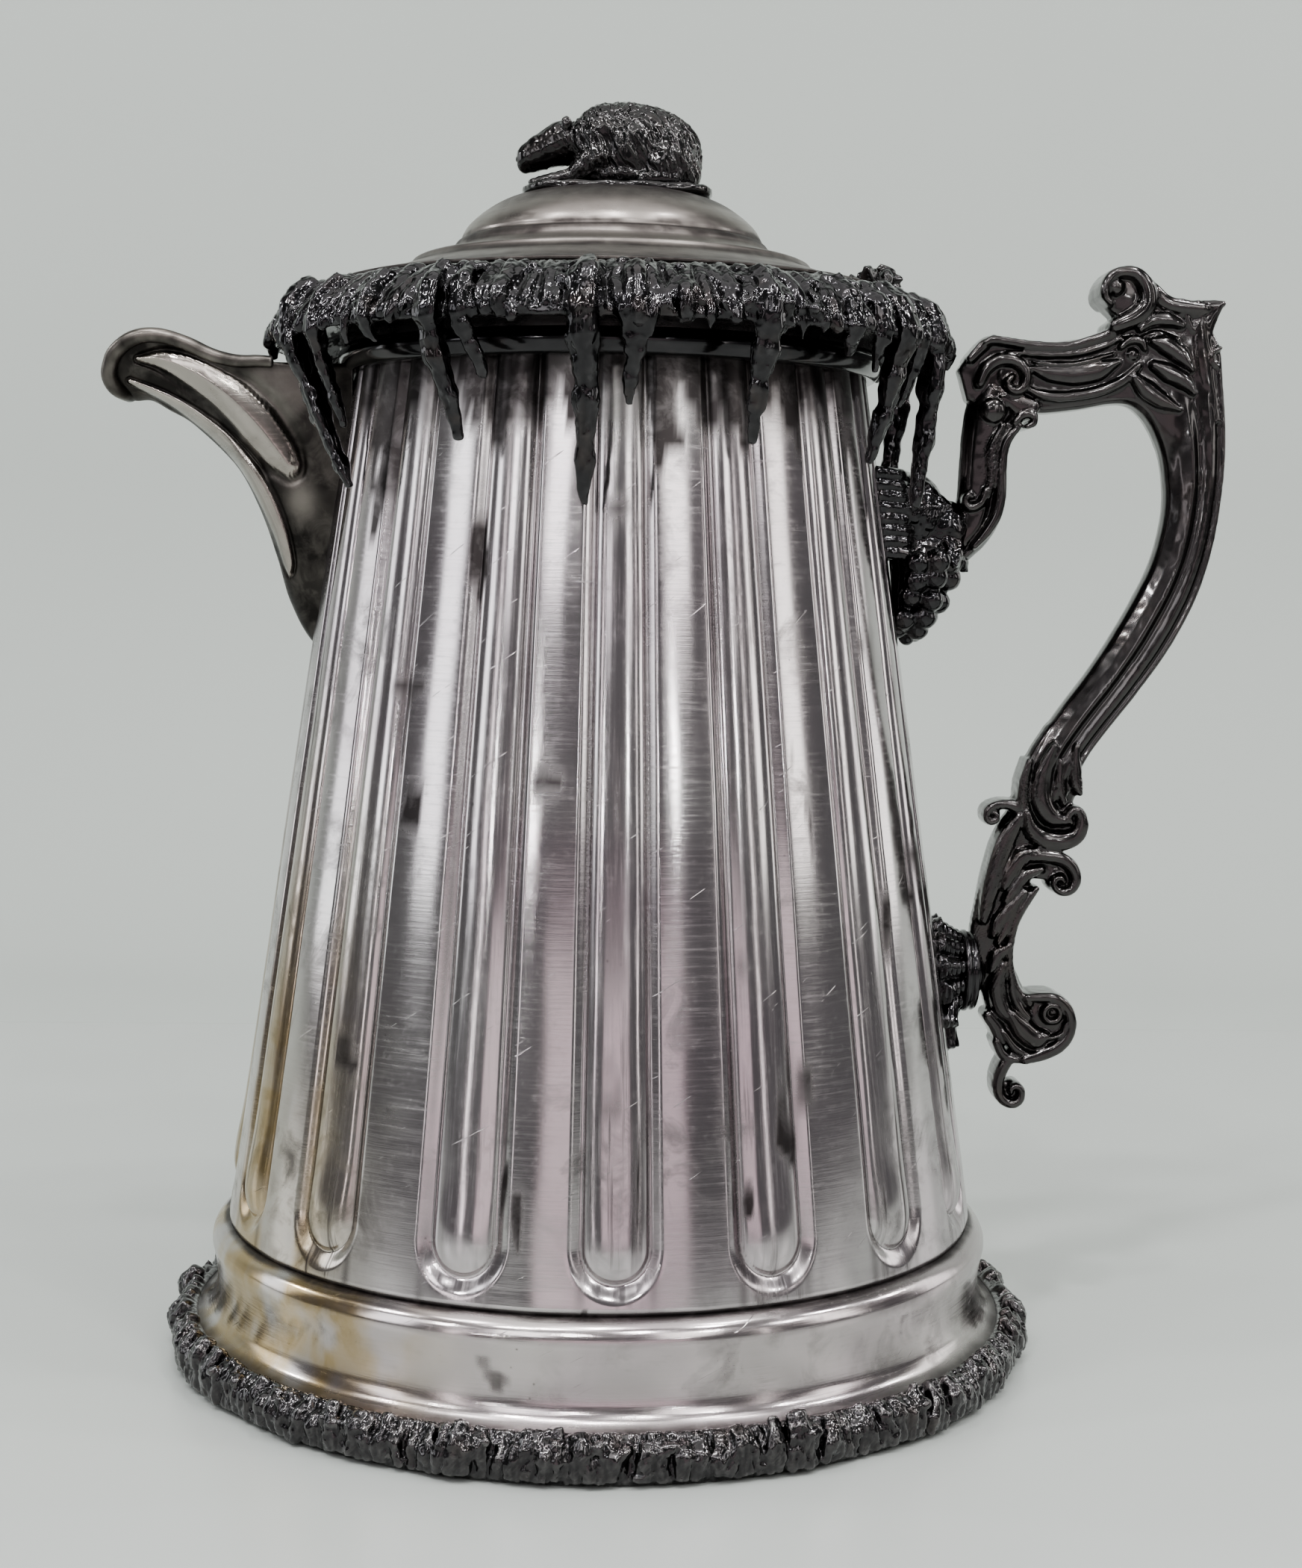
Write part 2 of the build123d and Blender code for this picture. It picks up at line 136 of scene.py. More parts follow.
def make(name, V, F, mats, body, rep=(), smooth=True):
    me = bpy.data.meshes.new(name)
    V = np.asarray(V, float) * 0.001
    me.from_pydata(V.tolist(), [], [tuple(map(int, f)) for f in F])
    me.validate()
    me.update()
    ob = bpy.data.objects.new(name, me)
    scene.collection.objects.link(ob)
    for m in (mats if isinstance(mats, (list, tuple)) else [mats]):
        if m is not None:
            me.materials.append(m)
    if smooth:
        me.polygons.foreach_set("use_smooth", [True] * len(me.polygons))
    if body:
        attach(ob, body)
    if rep:
        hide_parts(*rep)
    return ob


def co_of(ob):
    n = len(ob.data.vertices)
    co = np.zeros(n * 3, np.float32)
    ob.data.vertices.foreach_get("co", co)
    return co.reshape(-1, 3).astype(float) * 1000.0


def no_of(ob):
    n = len(ob.data.vertices)
    no = np.zeros(n * 3, np.float32)
    ob.data.vertices.foreach_get("normal", no)
    return no.reshape(-1, 3).astype(float)


def set_co(ob, co):
    ob.data.vertices.foreach_set("co", (co * 0.001).astype(np.float32).ravel())
    ob.data.update()


def bake(ob):
    dg = bpy.context.evaluated_depsgraph_get()
    dg.update()
    me = bpy.data.meshes.new_from_object(ob.evaluated_get(dg))
    ob.modifiers.clear()
    old = ob.data
    ob.data = me
    bpy.data.meshes.remove(old)
    me.polygons.foreach_set("use_smooth", [True] * len(me.polygons))
    return ob


def remesh(ob, voxel, smooth=2, factor=0.5):
    m = ob.modifiers.new("r", "REMESH")
    m.mode = "VOXEL"
    m.voxel_size = voxel * 0.001
    if smooth:
        s = ob.modifiers.new("s", "SMOOTH")
        s.factor = factor
        s.iterations = smooth
    return bake(ob)


def boolean(ob, V, F, op="DIFFERENCE", solver="EXACT"):
    cut = make("cutter_tmp", V, F, None, None)
    m = ob.modifiers.new("b", "BOOLEAN")
    m.operation = op
    m.object = cut
    m.solver = solver
    bake(ob)
    me = cut.data
    bpy.data.objects.remove(cut)
    bpy.data.meshes.remove(me)
    return ob


def rev(prof, thetas, closed=True, rfun=None):
    """Revolved (r, z) profile. closed: the profile is a loop. Otherwise its ends are poles on the axis."""
    prof = np.asarray(prof, float)
    T = np.asarray(thetas, float)
    k, n = len(prof), len(T)
    if closed:
        R = np.repeat(prof[None, :, 0], n, 0)
        Z = np.repeat(prof[None, :, 1], n, 0)
        if rfun is not None:
            R, Z = rfun(T[:, None] + 0 * R, R, Z)
        V = np.stack([R * np.cos(T)[:, None], R * np.sin(T)[:, None], Z], -1).reshape(-1, 3)
        return V, grid_faces(n, k, True, True, flip=False)
    inner = prof[1:-1]
    k = len(inner)
    R = np.repeat(inner[None, :, 0], n, 0)
    Z = np.repeat(inner[None, :, 1], n, 0)
    if rfun is not None:
        R, Z = rfun(T[:, None] + 0 * R, R, Z)
    V = np.stack([R * np.cos(T)[:, None], R * np.sin(T)[:, None], Z], -1).reshape(-1, 3)
    F = [tuple(f) for f in grid_faces(n, k, True, False)]
    a, b = len(V), len(V) + 1
    V = np.vstack([V, [0, 0, prof[0, 1]], [0, 0, prof[-1, 1]]])
    for i in range(n):
        j = (i + 1) % n
        F.append((i * k, a, j * k)[::-1])
        F.append((i * k + k - 1, j * k + k - 1, b)[::-1])
    return V, F


def circle(n):
    return np.linspace(0, TAU, n, endpoint=False)


def tube(path, rad, nseg=12, sect=None, up=(0, 1, 0)):
    """Closed tube along a path. rad: number, (N,) or (N,2). sect(phi, i) scales the radius."""
    P = np.asarray(path, float)
    n = len(P)
    R = np.asarray(rad, float)
    if R.ndim == 0:
        R = np.full((n, 2), float(R))
    elif R.ndim == 1:
        R = np.stack([R, R], -1)
    T = np.gradient(P, axis=0)
    T /= np.linalg.norm(T, axis=1)[:, None] + 1e-12
    phi = circle(nseg)
    V = []
    nrm = np.array(up, float)
    nrm = nrm - T[0] * (nrm @ T[0])
    if np.linalg.norm(nrm) < 1e-3:
        nrm = np.cross(T[0], [1, 0, 0])
    nrm /= np.linalg.norm(nrm)
    for i in range(n):
        nrm = nrm - T[i] * (nrm @ T[i])
        nrm /= np.linalg.norm(nrm)
        bi = np.cross(T[i], nrm)
        s = sect(phi, i) if sect is not None else 1.0
        V.append(P[i] + (R[i, 0] * np.cos(phi) * s)[:, None] * nrm + (R[i, 1] * np.sin(phi) * s)[:, None] * bi)
    V = np.vstack(V)
    F = [tuple(f) for f in grid_faces(n, nseg, False, True)]
    a = len(V)
    V = np.vstack([V, P[0] - T[0] * R[0].min() * 0.35, P[-1] + T[-1] * R[-1].min() * 0.35])
    for j in range(nseg):
        j2 = (j + 1) % nseg
        F.append((j, j2, a)[::-1])
        F.append(((n - 1) * nseg + j, a + 1, (n - 1) * nseg + j2)[::-1])
    return V, [f[::-1] for f in F]


_ico = {}


def ico(level=3):
    if level not in _ico:
        import bmesh
        bm = bmesh.new()
        bmesh.ops.create_icosphere(bm, subdivisions=level, radius=1.0)
        bm.verts.ensure_lookup_table()
        V = np.array([v.co[:] for v in bm.verts])
        F = [tuple(v.index for v in f.verts) for f in bm.faces]
        bm.free()
        _ico[level] = (V, F)
    return _ico[level]


def blob(c, r, rot=None, level=3, amp=0.0, nscale=1.0, seed=0):
    V, F = ico(level)
    r = np.asarray(r, float) * np.ones(3)
    W = V * r
    if amp:
        W = W * (1 + amp * vnoise(V * 1.7 / nscale + seed * 3.1, 1.0, seed))[:, None]
    if rot is not None:
        W = W @ np.asarray(rot, float).T
    return W + np.asarray(c, float), F


def rotm(axis, deg):
    return np.array(Matrix.Rotation(math.radians(deg), 3, axis))


def cap(a, b, ra, rb, n=14, nseg=16):
    """Rounded cone from a to b."""
    a, b = np.asarray(a, float), np.asarray(b, float)
    d = b - a
    L = np.linalg.norm(d)
    d = d / L
    s = np.linspace(-1, 1, n)
    pts, rad = [], []
    for t in np.linspace(0, PI / 2, 5)[:-1]:
        pts.append(a - d * ra * math.cos(t))
        rad.append(ra * math.sin(t) + 1e-3)
    for t in np.linspace(0, 1, n):
        pts.append(a + d * L * t)
        rad.append(lerp(ra, rb, t))
    for t in np.linspace(PI / 2, 0, 5)[1:]:
        pts.append(b + d * rb * math.cos(t))
        rad.append(rb * math.sin(t) + 1e-3)
    return tube(pts, rad, nseg)


# ------------------------------------------------------------------ materials


class NT:
    """Small helper for building node trees."""

    def __init__(self, name):
        self.mat = bpy.data.materials.new(name)
        self.mat.use_nodes = True
        self.t = self.mat.node_tree
        self.t.nodes.clear()
        self.out = self.t.nodes.new("ShaderNodeOutputMaterial")
        self.p = self.t.nodes.new("ShaderNodeBsdfPrincipled")
        self.t.links.new(self.p.outputs[0], self.out.inputs[0])

    def n(self, kind, **kw):
        nd = self.t.nodes.new("ShaderNode" + kind)
        for k, v in kw.items():
            if k.startswith("i_"):
                key = k[2:]
                key = int(key) if key.isdigit() else key
                nd.inputs[key].default_value = v
            else:
                setattr(nd, k, v)
        return nd

    def l(self, a, b):
        self.t.links.new(a, b)

    def math(self, op, a, b=None, c=None, clamp=False):
        nd = self.t.nodes.new("ShaderNodeMath")
        nd.operation = op
        nd.use_clamp = clamp
        for i, v in enumerate((a, b, c)):
            if v is None:
                continue
            if isinstance(v, (int, float)):
                nd.inputs[i].default_value = v
            else:
                self.l(v, nd.inputs[i])
        return nd.outputs[0]

    def vec(self, x, y, z):
        nd = self.t.nodes.new("ShaderNodeCombineXYZ")
        for i, v in enumerate((x, y, z)):
            if isinstance(v, (int, float)):
                nd.inputs[i].default_value = v
            else:
                self.l(v, nd.inputs[i])
        return nd.outputs[0]

    def noise(self, v, scale, detail=3.0, rough=0.5, dist=0.0):
        nd = self.n("TexNoise")
        nd.inputs["Scale"].default_value = scale
        nd.inputs["Detail"].default_value = detail
        nd.inputs["Roughness"].default_value = rough
        nd.inputs["Distortion"].default_value = dist
        self.l(v, nd.inputs["Vector"])
        return nd.outputs["Fac"]

    def ramp(self, f, stops):
        nd = self.n("ValToRGB")
        e = nd.color_ramp.elements
        while len(e) > 1:
            e.remove(e[-1])
        for i, (pos, col) in enumerate(stops):
            el = e[0] if i == 0 else e.new(pos)
            el.position = pos
            col = (col, col, col) if isinstance(col, (int, float)) else col
            el.color = (*col, 1.0)
        self.l(f, nd.inputs[0])
        return nd.outputs[0]

    def mix(self, f, a, b, mode="MIX"):
        nd = self.n("Mix", data_type="RGBA", blend_type=mode)
        for sock, v in ((nd.inputs[0], f), (nd.inputs[6], a), (nd.inputs[7], b)):
            if isinstance(v, (int, float)):
                sock.default_value = v
            elif isinstance(v, tuple):
                sock.default_value = (*v, 1.0)
            else:
                self.l(v, sock)
        return nd.outputs[2]

    def bump(self, h, strength, dist, prev=None):
        nd = self.n("Bump")
        nd.inputs["Strength"].default_value = strength
        nd.inputs["Distance"].default_value = dist
        self.l(h, nd.inputs["Height"])
        if prev is not None:
            self.l(prev, nd.inputs["Normal"])
        return nd.outputs[0]


def cyl_coords(m):
    """Object position as (arc length on an 85 mm radius, z, r), metres."""
    tc = m.n("TexCoord")
    sp = m.n("SeparateXYZ")
    m.l(tc.outputs["Object"], sp.inputs[0])
    x, y, z = sp.outputs
    th = m.math("ARCTAN2", y, x)
    arc = m.math("MULTIPLY", th, 0.085)
    rr = m.math("SQRT", m.math("ADD", m.math("MULTIPLY", x, x), m.math("MULTIPLY", y, y)))
    return tc.outputs["Object"], arc, z, rr, th


def silver(name, base=(0.66, 0.635, 0.62), tarnish_and_shade_col=(0.035, 0.03, 0.03), rough=0.13, horiz=1.0, vert=0.0,
           tarnish=0.5, tint=(0.40, 0.33, 0.37), attr=None, pits=0.5, stain_and_shade=None, painted_warm_reflection=None, lines_amt=0.10):
    m = NT(name)
    obj, arc, z, rr, th = cyl_coords(m)
    big = m.noise(obj, 22.0, 4.0, 0.55, 0.4)
    big2 = m.noise(obj, 11.0, 3.0, 0.5, 0.8)
    mid = m.noise(obj, 90.0, 5.0, 0.6, 0.6)
    fine = m.noise(obj, 600.0, 3.0, 0.6)
    # short scratches running round the jug, in patches
    hv = m.vec(m.math("MULTIPLY", arc, 60.0), m.math("MULTIPLY", z, 1300.0), 0.0)
    hs = m.noise(hv, 1.0, 4.0, 0.65, 0.3)
    # a few long cuts at odd angles
    dv = m.vec(m.math("ADD", m.math("MULTIPLY", arc, 45.0), m.math("MULTIPLY", z, 38.0)), m.math("SUBTRACT", m.math("MULTIPLY", z, 900.0), m.math("MULTIPLY", arc, 560.0)), 3.0)
    hs2 = m.noise(dv, 1.0, 2.0, 0.6, 0.2)
    # streaks running up and down
    vv = m.vec(m.math("MULTIPLY", arc, 1500.0), m.math("MULTIPLY", z, 45.0), 7.0)
    vs = m.noise(vv, 1.0, 4.0, 0.65, 0.25)
    vs2 = m.noise(m.vec(m.math("MULTIPLY", arc, 420.0), m.math("MULTIPLY", z, 14.0), 9.0), 1.0, 4.0, 0.7, 0.3)
    if attr:
        at = m.n("Attribute", attribute_name=attr)
        w = at.outputs["Fac"]
        lines = m.mix(w, hs, vs)
    else:
        w = vert / max(1e-6, horiz + vert)
        lines = m.mix(w, hs, vs)
    lines_f = m.n("RGBToBW")
    m.l(lines, lines_f.inputs[0])
    lf = lines_f.outputs[0]
    col = m.mix(m.ramp(big2, [(0.36, 0.0), (0.62, 1.0)]), tuple(base), tuple(0.45 * b + 0.55 * t for b, t in zip(base, tint)))
    col = m.mix(m.math("MULTIPLY", m.ramp(big, [(0.45, 0.0), (0.72, 1.0)]), 0.5), col, tuple(0.75 * b for b in base))
    # painted reflection: a warm gold tint standing for warm surroundings reflected in the silver, placed by the
    # attribute
    if painted_warm_reflection:
        ga = m.n("Attribute", attribute_name=painted_warm_reflection)
        gm = m.math("MULTIPLY", ga.outputs["Fac"], m.ramp(mid, [(0.3, 0.55), (0.6, 1.0)]))
        col = m.mix(m.math("MINIMUM", m.math("MULTIPLY", gm, 1.35), 0.9), col, (0.46, 0.345, 0.17))
    dirt_and_shade = m.math("MULTIPLY", m.math("MULTIPLY", m.ramp(mid, [(0.48, 0.0), (0.72, 1.0)]), m.ramp(big, [(0.42, 0.0), (0.62, 1.0)])), tarnish)
    if attr:
        vd = m.math("MULTIPLY", m.math("MULTIPLY", m.ramp(vs2, [(0.52, 0.0), (0.68, 1.0)]), m.ramp(big, [(0.40, 0.0), (0.60, 1.0)])), m.math("MULTIPLY", w, tarnish * 1.3))
        dirt_and_shade = m.math("MAXIMUM", dirt_and_shade, vd)
    # stain attribute: real tarnish plus painted shade (the shadow round the shell's rib ends)
    if stain_and_shade:
        sa = m.n("Attribute", attribute_name=stain_and_shade)
        st = m.math("MULTIPLY", sa.outputs["Fac"], m.ramp(m.noise(obj, 150.0, 4.0, 0.62, 0.5), [(0.28, 0.82), (0.55, 1.0)]))
        dirt_and_shade = m.math("MAXIMUM", dirt_and_shade, st)
    dirt_and_shade = m.math("MINIMUM", dirt_and_shade, 0.96)
    # darkens towards the tarnish colour, both for real tarnish and for the painted shade carried by the attribute
    col = m.mix(dirt_and_shade, col, tuple(tarnish_and_shade_col))
    spots = m.n("TexVoronoi", feature="F1")
    spots.inputs["Scale"].default_value = 210.0
    m.l(obj, spots.inputs["Vector"])
    pit = m.math("MULTIPLY", m.ramp(spots.outputs["Distance"], [(0.035, 1.0), (0.075, 0.0)]),
                 m.ramp(mid, [(0.52, 0.0), (0.6, 1.0)]))
    pit = m.math("MULTIPLY", pit, pits)
    col = m.mix(pit, col, (0.08, 0.07, 0.065))
    cut = m.ramp(hs2, [(0.71, 0.0), (0.75, 1.0)])
    m.l(col, m.p.inputs["Base Color"])
    m.p.inputs["Metallic"].default_value = 1.0
    r = m.math("ADD", m.math("MULTIPLY", m.math("MULTIPLY", m.ramp(lf, [(0.48, 0.0), (0.8, 1.0)]), m.ramp(mid, [(0.35, 0.3), (0.65, 1.0)])), 0.16), rough)
    r = m.math("ADD", r, m.math("MULTIPLY", dirt_and_shade, 0.24))
    r = m.math("ADD", r, m.math("MULTIPLY", m.ramp(fine, [(0.55, 0.0), (0.75, 1.0)]), 0.05))
    m.l(r, m.p.inputs["Roughness"])
    b = m.bump(lf, lines_amt, 0.0003)
    b = m.bump(cut, 0.16, -0.00025, b)
    b = m.bump(pit, -0.5, 0.0003, b)
    m.l(b, m.p.inputs["Normal"])
    return m.mat


def dark(name, lo=(0.018, 0.017, 0.019), hi=(0.16, 0.155, 0.16), rough=0.2, grain=0.3, wear=0.5, brown=0.2):
    m = NT(name)
    tc = m.n("TexCoord")
    obj = tc.outputs["Object"]
    geo = m.n("NewGeometry")
    pt = m.ramp(geo.outputs["Pointiness"], [(0.49, 0.0), (0.58, 1.0)])
    cav = m.ramp(geo.outputs["Pointiness"], [(0.42, 1.0), (0.49, 0.0)])
    big = m.noise(obj, 60.0, 4.0, 0.6, 0.3)
    mid = m.noise(obj, 320.0, 4.0, 0.6)
    fine = m.noise(obj, 1500.0, 3.0, 0.65)
    k = m.math("MULTIPLY", pt, m.ramp(mid, [(0.35, 0.2), (0.65, 1.0)]))
    k = m.math("MULTIPLY", k, wear)
    k = m.math("ADD", k, m.math("MULTIPLY", m.ramp(big, [(0.4, 0.0), (0.75, 1.0)]), 0.04))
    col = m.mix(k, tuple(lo), tuple(hi))
    col = m.mix(m.math("MULTIPLY", m.ramp(m.noise(obj, 110.0, 3.0, 0.6), [(0.55, 0.0), (0.75, 1.0)]), brown), col, (0.12, 0.085, 0.07))
    col = m.mix(m.math("MULTIPLY", cav, 0.6), col, (0.008, 0.008, 0.008))
    m.l(col, m.p.inputs["Base Color"])
    m.p.inputs["Metallic"].default_value = 1.0
    m.p.inputs["Coat Weight"].default_value = 0.6
    m.p.inputs["Coat Roughness"].default_value = 0.08
    r = m.math("ADD", m.math("MULTIPLY", mid, 0.14), rough - 0.05)
    m.l(r, m.p.inputs["Roughness"])
    b = m.bump(mid, grain * 0.35, 0.0003)
    b = m.bump(fine, grain * 0.2, 0.0001, b)
    m.l(b, m.p.inputs["Normal"])
    return m.mat


M_SHELL = silver("silver_shell_mat", lines_amt=0.035, rough=0.14, tarnish=0.72, base=(0.66, 0.64, 0.63), attr="rib", stain_and_shade="stain_and_shade", painted_warm_reflection="painted_warm_reflection")
M_FOOT = silver("silver_foot_mat", rough=0.17, tarnish=0.45, base=(0.60, 0.575, 0.55), stain_and_shade="stain_and_shade", painted_warm_reflection="painted_warm_reflection")
M_SPOUT = silver("silver_spout_mat", rough=0.19, tarnish=0.35, tarnish_and_shade_col=(0.012, 0.011, 0.011), base=(0.46, 0.43, 0.395), tint=(0.30, 0.27, 0.24), stain_and_shade="stain_and_shade", lines_amt=0.04)
M_LID = silver("silver_lid_mat", rough=0.24, tarnish=0.35, base=(0.42, 0.39, 0.36), tint=(0.27, 0.24, 0.23), stain_and_shade="stain_and_shade", lines_amt=0.05)
M_PLAIN = silver("silver_plain_mat", rough=0.26, tarnish=0.6, base=(0.55, 0.54, 0.52), tint=(0.40, 0.38, 0.37))
M_DARK = dark("dark_cast_mat", lo=(0.020, 0.019, 0.021), hi=(0.15, 0.145, 0.148), rough=0.17, wear=0.4, grain=0.3)
M_ICE = dark("dark_ice_mat", lo=(0.036, 0.034, 0.036), hi=(0.26, 0.25, 0.245), rough=0.18, wear=0.5, grain=0.3)
M_COLLAR = silver("tarnished_collar_mat", base=(0.16, 0.15, 0.15), tint=(0.10, 0.09, 0.09), rough=0.24, tarnish=0.8)
M_HANDLE = dark("dark_handle_mat", lo=(0.045, 0.042, 0.042), hi=(0.22, 0.205, 0.2), rough=0.19, grain=0.05, wear=0.3, brown=0.16)
M_BEAR = dark("dark_bear_mat", lo=(0.022, 0.0205, 0.021), hi=(0.15, 0.145, 0.14), rough=0.19, grain=0.12, wear=0.45, brown=0.12)


def set_attr(ob, name, val):
    a = ob.data.attributes.get(name) or ob.data.attributes.new(name, "FLOAT", "POINT")
    a.data.foreach_set("value", np.asarray(val, np.float32))


def plain_metal(name, col, rough):
    m = NT(name)
    tc = m.n("TexCoord")
    nz = m.noise(tc.outputs["Object"], 400.0, 4.0, 0.6)
    c = m.mix(m.ramp(nz, [(0.35, 0.0), (0.7, 1.0)]), tuple(col), tuple(0.6 * v for v in col))
    m.l(c, m.p.inputs["Base Color"])
    m.p.inputs["Metallic"].default_value = 1.0
    m.l(m.math("ADD", m.math("MULTIPLY", nz, 0.2), rough), m.p.inputs["Roughness"])
    m.l(m.bump(nz, 0.2, 0.0002), m.p.inputs["Normal"])
    return m.mat


M_BRASS = plain_metal("brass_mat", (0.6, 0.45, 0.2), 0.25)
M_STEEL = plain_metal("steel_mat", (0.35, 0.34, 0.33), 0.3)

# ------------------------------------------------------------------ dimensions shared with the CAD frame
Z_SEAM, R_SEAM, TAPER = 34.0, 96.0, 0.1452


def r_out(z):
    return R_SEAM - TAPER * (np.asarray(z, float) - Z_SEAM)


# ------------------------------------------------------------------ outer shell with ribs
RIB_H, COVE_H = 4.7, 7.0
ZR_C, ZR_END = 48.6, 40.6
ZC_C, ZC_END = 48.6, 36.2


def shell_height(d, z):
    """Offset in mm of the shell at d degrees from a rib's centre line and height z."""
    R = r_out(z)
    u = np.abs(np.radians(d) * R)
    wr = np.radians(RIB_H) * R
    wc = np.radians(COVE_H) * R
    tr = np.sqrt((u / wr) ** 2 + (np.minimum(z - ZR_C, 0) / (ZR_C - ZR_END)) ** 2)
    tc = np.sqrt((u / wc) ** 2 + (np.minimum(z - ZC_C, 0) / (ZC_C - ZC_END)) ** 2)
    low = -1.75
    crown = 0.55 + 0.55 * np.exp(-((z - 50.0) / 8.0) ** 2)
    rib = low + (crown - low) * np.clip(1 - np.clip(tr, 0, 1) ** 2.2, 0, 1) ** 0.62
    q = (tr - 1) / np.maximum((tr - 1) + np.maximum(1 - tc, 0) * (COVE_H / RIB_H), 1e-6)
    q = np.clip(q, 0, 1)
    cove = low * (1 - sm(0.0, 1.0, q) ** 0.85)
    pw = np.radians(11.25) * R
    e = np.clip((u - wc) / np.maximum(pw - wc, 1e-6), 0, 1)
    panel = 0.05 + 0.14 * (1 - (1 - e) ** 2)
    return np.where(tr < 1, rib, np.where(tc < 1, cove + 0.05 * q, panel))


dloc = np.unique(np.round(np.concatenate([
    np.linspace(-11.25, -7.6, 6), np.linspace(-7.6, -4.2, 15), np.linspace(-4.2, 4.2, 25),
    np.linspace(4.2, 7.6, 15), np.linspace(7.6, 11.25, 6)[:-1]]), 4))
JIT = [0.0, 0.5, -0.3, 0.4, -0.2, 0.6, 0.2, -0.5, 0.3, -0.2, 0.1, -0.4, 0.4, 0.0, -0.3, 0.2]
JIT[15], JIT[0], JIT[1], JIT[14], JIT[2] = 0.7, -0.2, 0.0, -0.4, 0.8
thetas = np.radians(np.concatenate([dloc + 22.5 * k + 1.4 + JIT[k] * (1 - sm(7.6, 11.25, np.abs(dloc))) for k in range(16)]) - 90.0)
dd = np.concatenate([dloc for k in range(16)])
zrows = np.concatenate([[34.0, 34.25, 34.7], np.linspace(35.4, 52.0, 44), np.linspace(53.0, 70, 9),
                        np.linspace(74, 244, 34), np.linspace(248, 254.0, 3)])
ZZ, DD = np.meshgrid(zrows, dd)
TT = np.repeat(thetas[:, None], len(zrows), 1)
RR = r_out(ZZ) + shell_height(DD, ZZ)
RR = RR - 0.5 * (1 - sm(34.0, 35.2, ZZ))
P0 = np.stack([RR * np.cos(TT), RR * np.sin(TT), ZZ], -1).reshape(-1, 3)
wob = 0.22 * fbm(P0 * [1, 1, 0.5], 24.0, 3, 2) + 0.025 * fbm(P0, 8.0, 9, 2)
RR = RR + wob.reshape(RR.shape) * (sm(34, 40, ZZ))
Zi = np.linspace(254.0, 34.0, 8)
Ri = np.repeat((r_out(Zi) - 3.4)[None, :], len(thetas), 0)
Rall = np.concatenate([RR, Ri], 1)
Zall = np.concatenate([ZZ, np.repeat(Zi[None, :], len(thetas), 0)], 1)
Tall = np.repeat(thetas[:, None], Rall.shape[1], 1)
V = np.stack([Rall * np.cos(Tall), Rall * np.sin(Tall), Zall], -1).reshape(-1, 3)
F = grid_faces(len(thetas), Rall.shape[1], True, True)
shell = make("body_shell", V, F, M_SHELL, "jug", ["outer_shell"])
hole_V, hole_F = tube([(-90, 0, 236.0), (-40, 0, 236.0)], 11.9, 40)
boolean(shell, hole_V, hole_F)
co = co_of(shell)
th = np.degrees(np.arctan2(co[:, 1], co[:, 0]))
dl = np.abs((th + 90 - 1.4 + 11.25) % 22.5 - 11.25)
R_ = np.hypot(co[:, 0], co[:, 1])
set_attr(shell, "rib", 1 - sm(4.6, 5.4, dl))
edge_dark = np.exp(-((dl - 5.0) / 0.7) ** 2) * 0.55 * sm(-0.25, 0.35, fbm(co * [1, 1, 0.25], 16.0, 22, 3))
under_rim = 0.85 * sm(226, 250, co[:, 2] + 9 * fbm(co, 13.0, 23, 3) + 5 * (1 - sm(4, 6, dl)))
blot = 0.9 * sm(0.42, 0.62, fbm(co * [1, 1, 0.7], 15.0, 24, 3) + 0.25 * sm(190, 235, co[:, 2]) - 0.12 * (1 - sm(40, 90, co[:, 2])))
seam = 0.95 * (1 - sm(34.3, 35.5, co[:, 2]))
# painted shadow: darkens the groove round the lower ends of the ribs, where shade falls below each rib end
painted_rib_end_shadow = 0.5 * np.exp(-((dl - 4.9) / 0.8) ** 2) * np.exp(-((co[:, 2] - 44) / 9) ** 2)
spz = 0.8 * (1 - sm(12, 19, np.abs((th + 360) % 360 - 180))) * sm(165, 190, co[:, 2])
cs_ = co_of(shell)
topd = 0.97 * sm(0.0, 0.12, fbm(cs_ * [1, 1, 0.35], 10.0, 53, 3) + 0.75 * sm(215, 252, cs_[:, 2]) - 0.45)
# tarnish, blots and the dark seam, plus the painted shadow round the rib ends, all in one attribute
set_attr(shell, "stain_and_shade", np.clip(np.maximum.reduce([topd, edge_dark, under_rim, blot, seam, painted_rib_end_shadow, spz]), 0, 1))
# painted reflection: warm tint on the left-facing ribs, low on the body, for warm surroundings reflected there
set_attr(shell, "painted_warm_reflection", np.clip((1 - sm(5.2, 7.4, dl)) * (1 - sm(-146, -126, th)) * (1 - sm(70, 190, co[:, 2])) * 0.5
                                + 0.22 * (1 - sm(-140, -115, th)) * (1 - sm(50, 130, co[:, 2])), 0, 1))

# ------------------------------------------------------------------ foot
foot_prof = crom([(92.5, 34.0), (95.0, 34.1), (96.7, 33.7), (98.7, 32.3), (99.8, 30.4), (100.1, 28.6), (99.8, 26.8),
                  (99.3, 24.2), (98.9, 20.8), (98.9, 17.2), (99.5, 14.2), (100.8, 12.0), (102.7, 10.6), (104.6, 9.8),
                  (105.4, 9.2), (105.0, 8.4), (101.5, 8.3), (98.8, 10.5), (97.6, 14.0), (97.2, 20.0), (97.2, 28.0),
                  (95.0, 31.0), (92.8, 32.4)], 5, True)


def foot_wob(T, R, Z):
    P = np.stack([R * np.cos(T), R * np.sin(T), Z], -1).reshape(-1, 3)
    return R + (0.13 * fbm(P, 30.0, 5, 2) + 0.04 * fbm(P, 6.0, 6, 2)).reshape(R.shape), Z


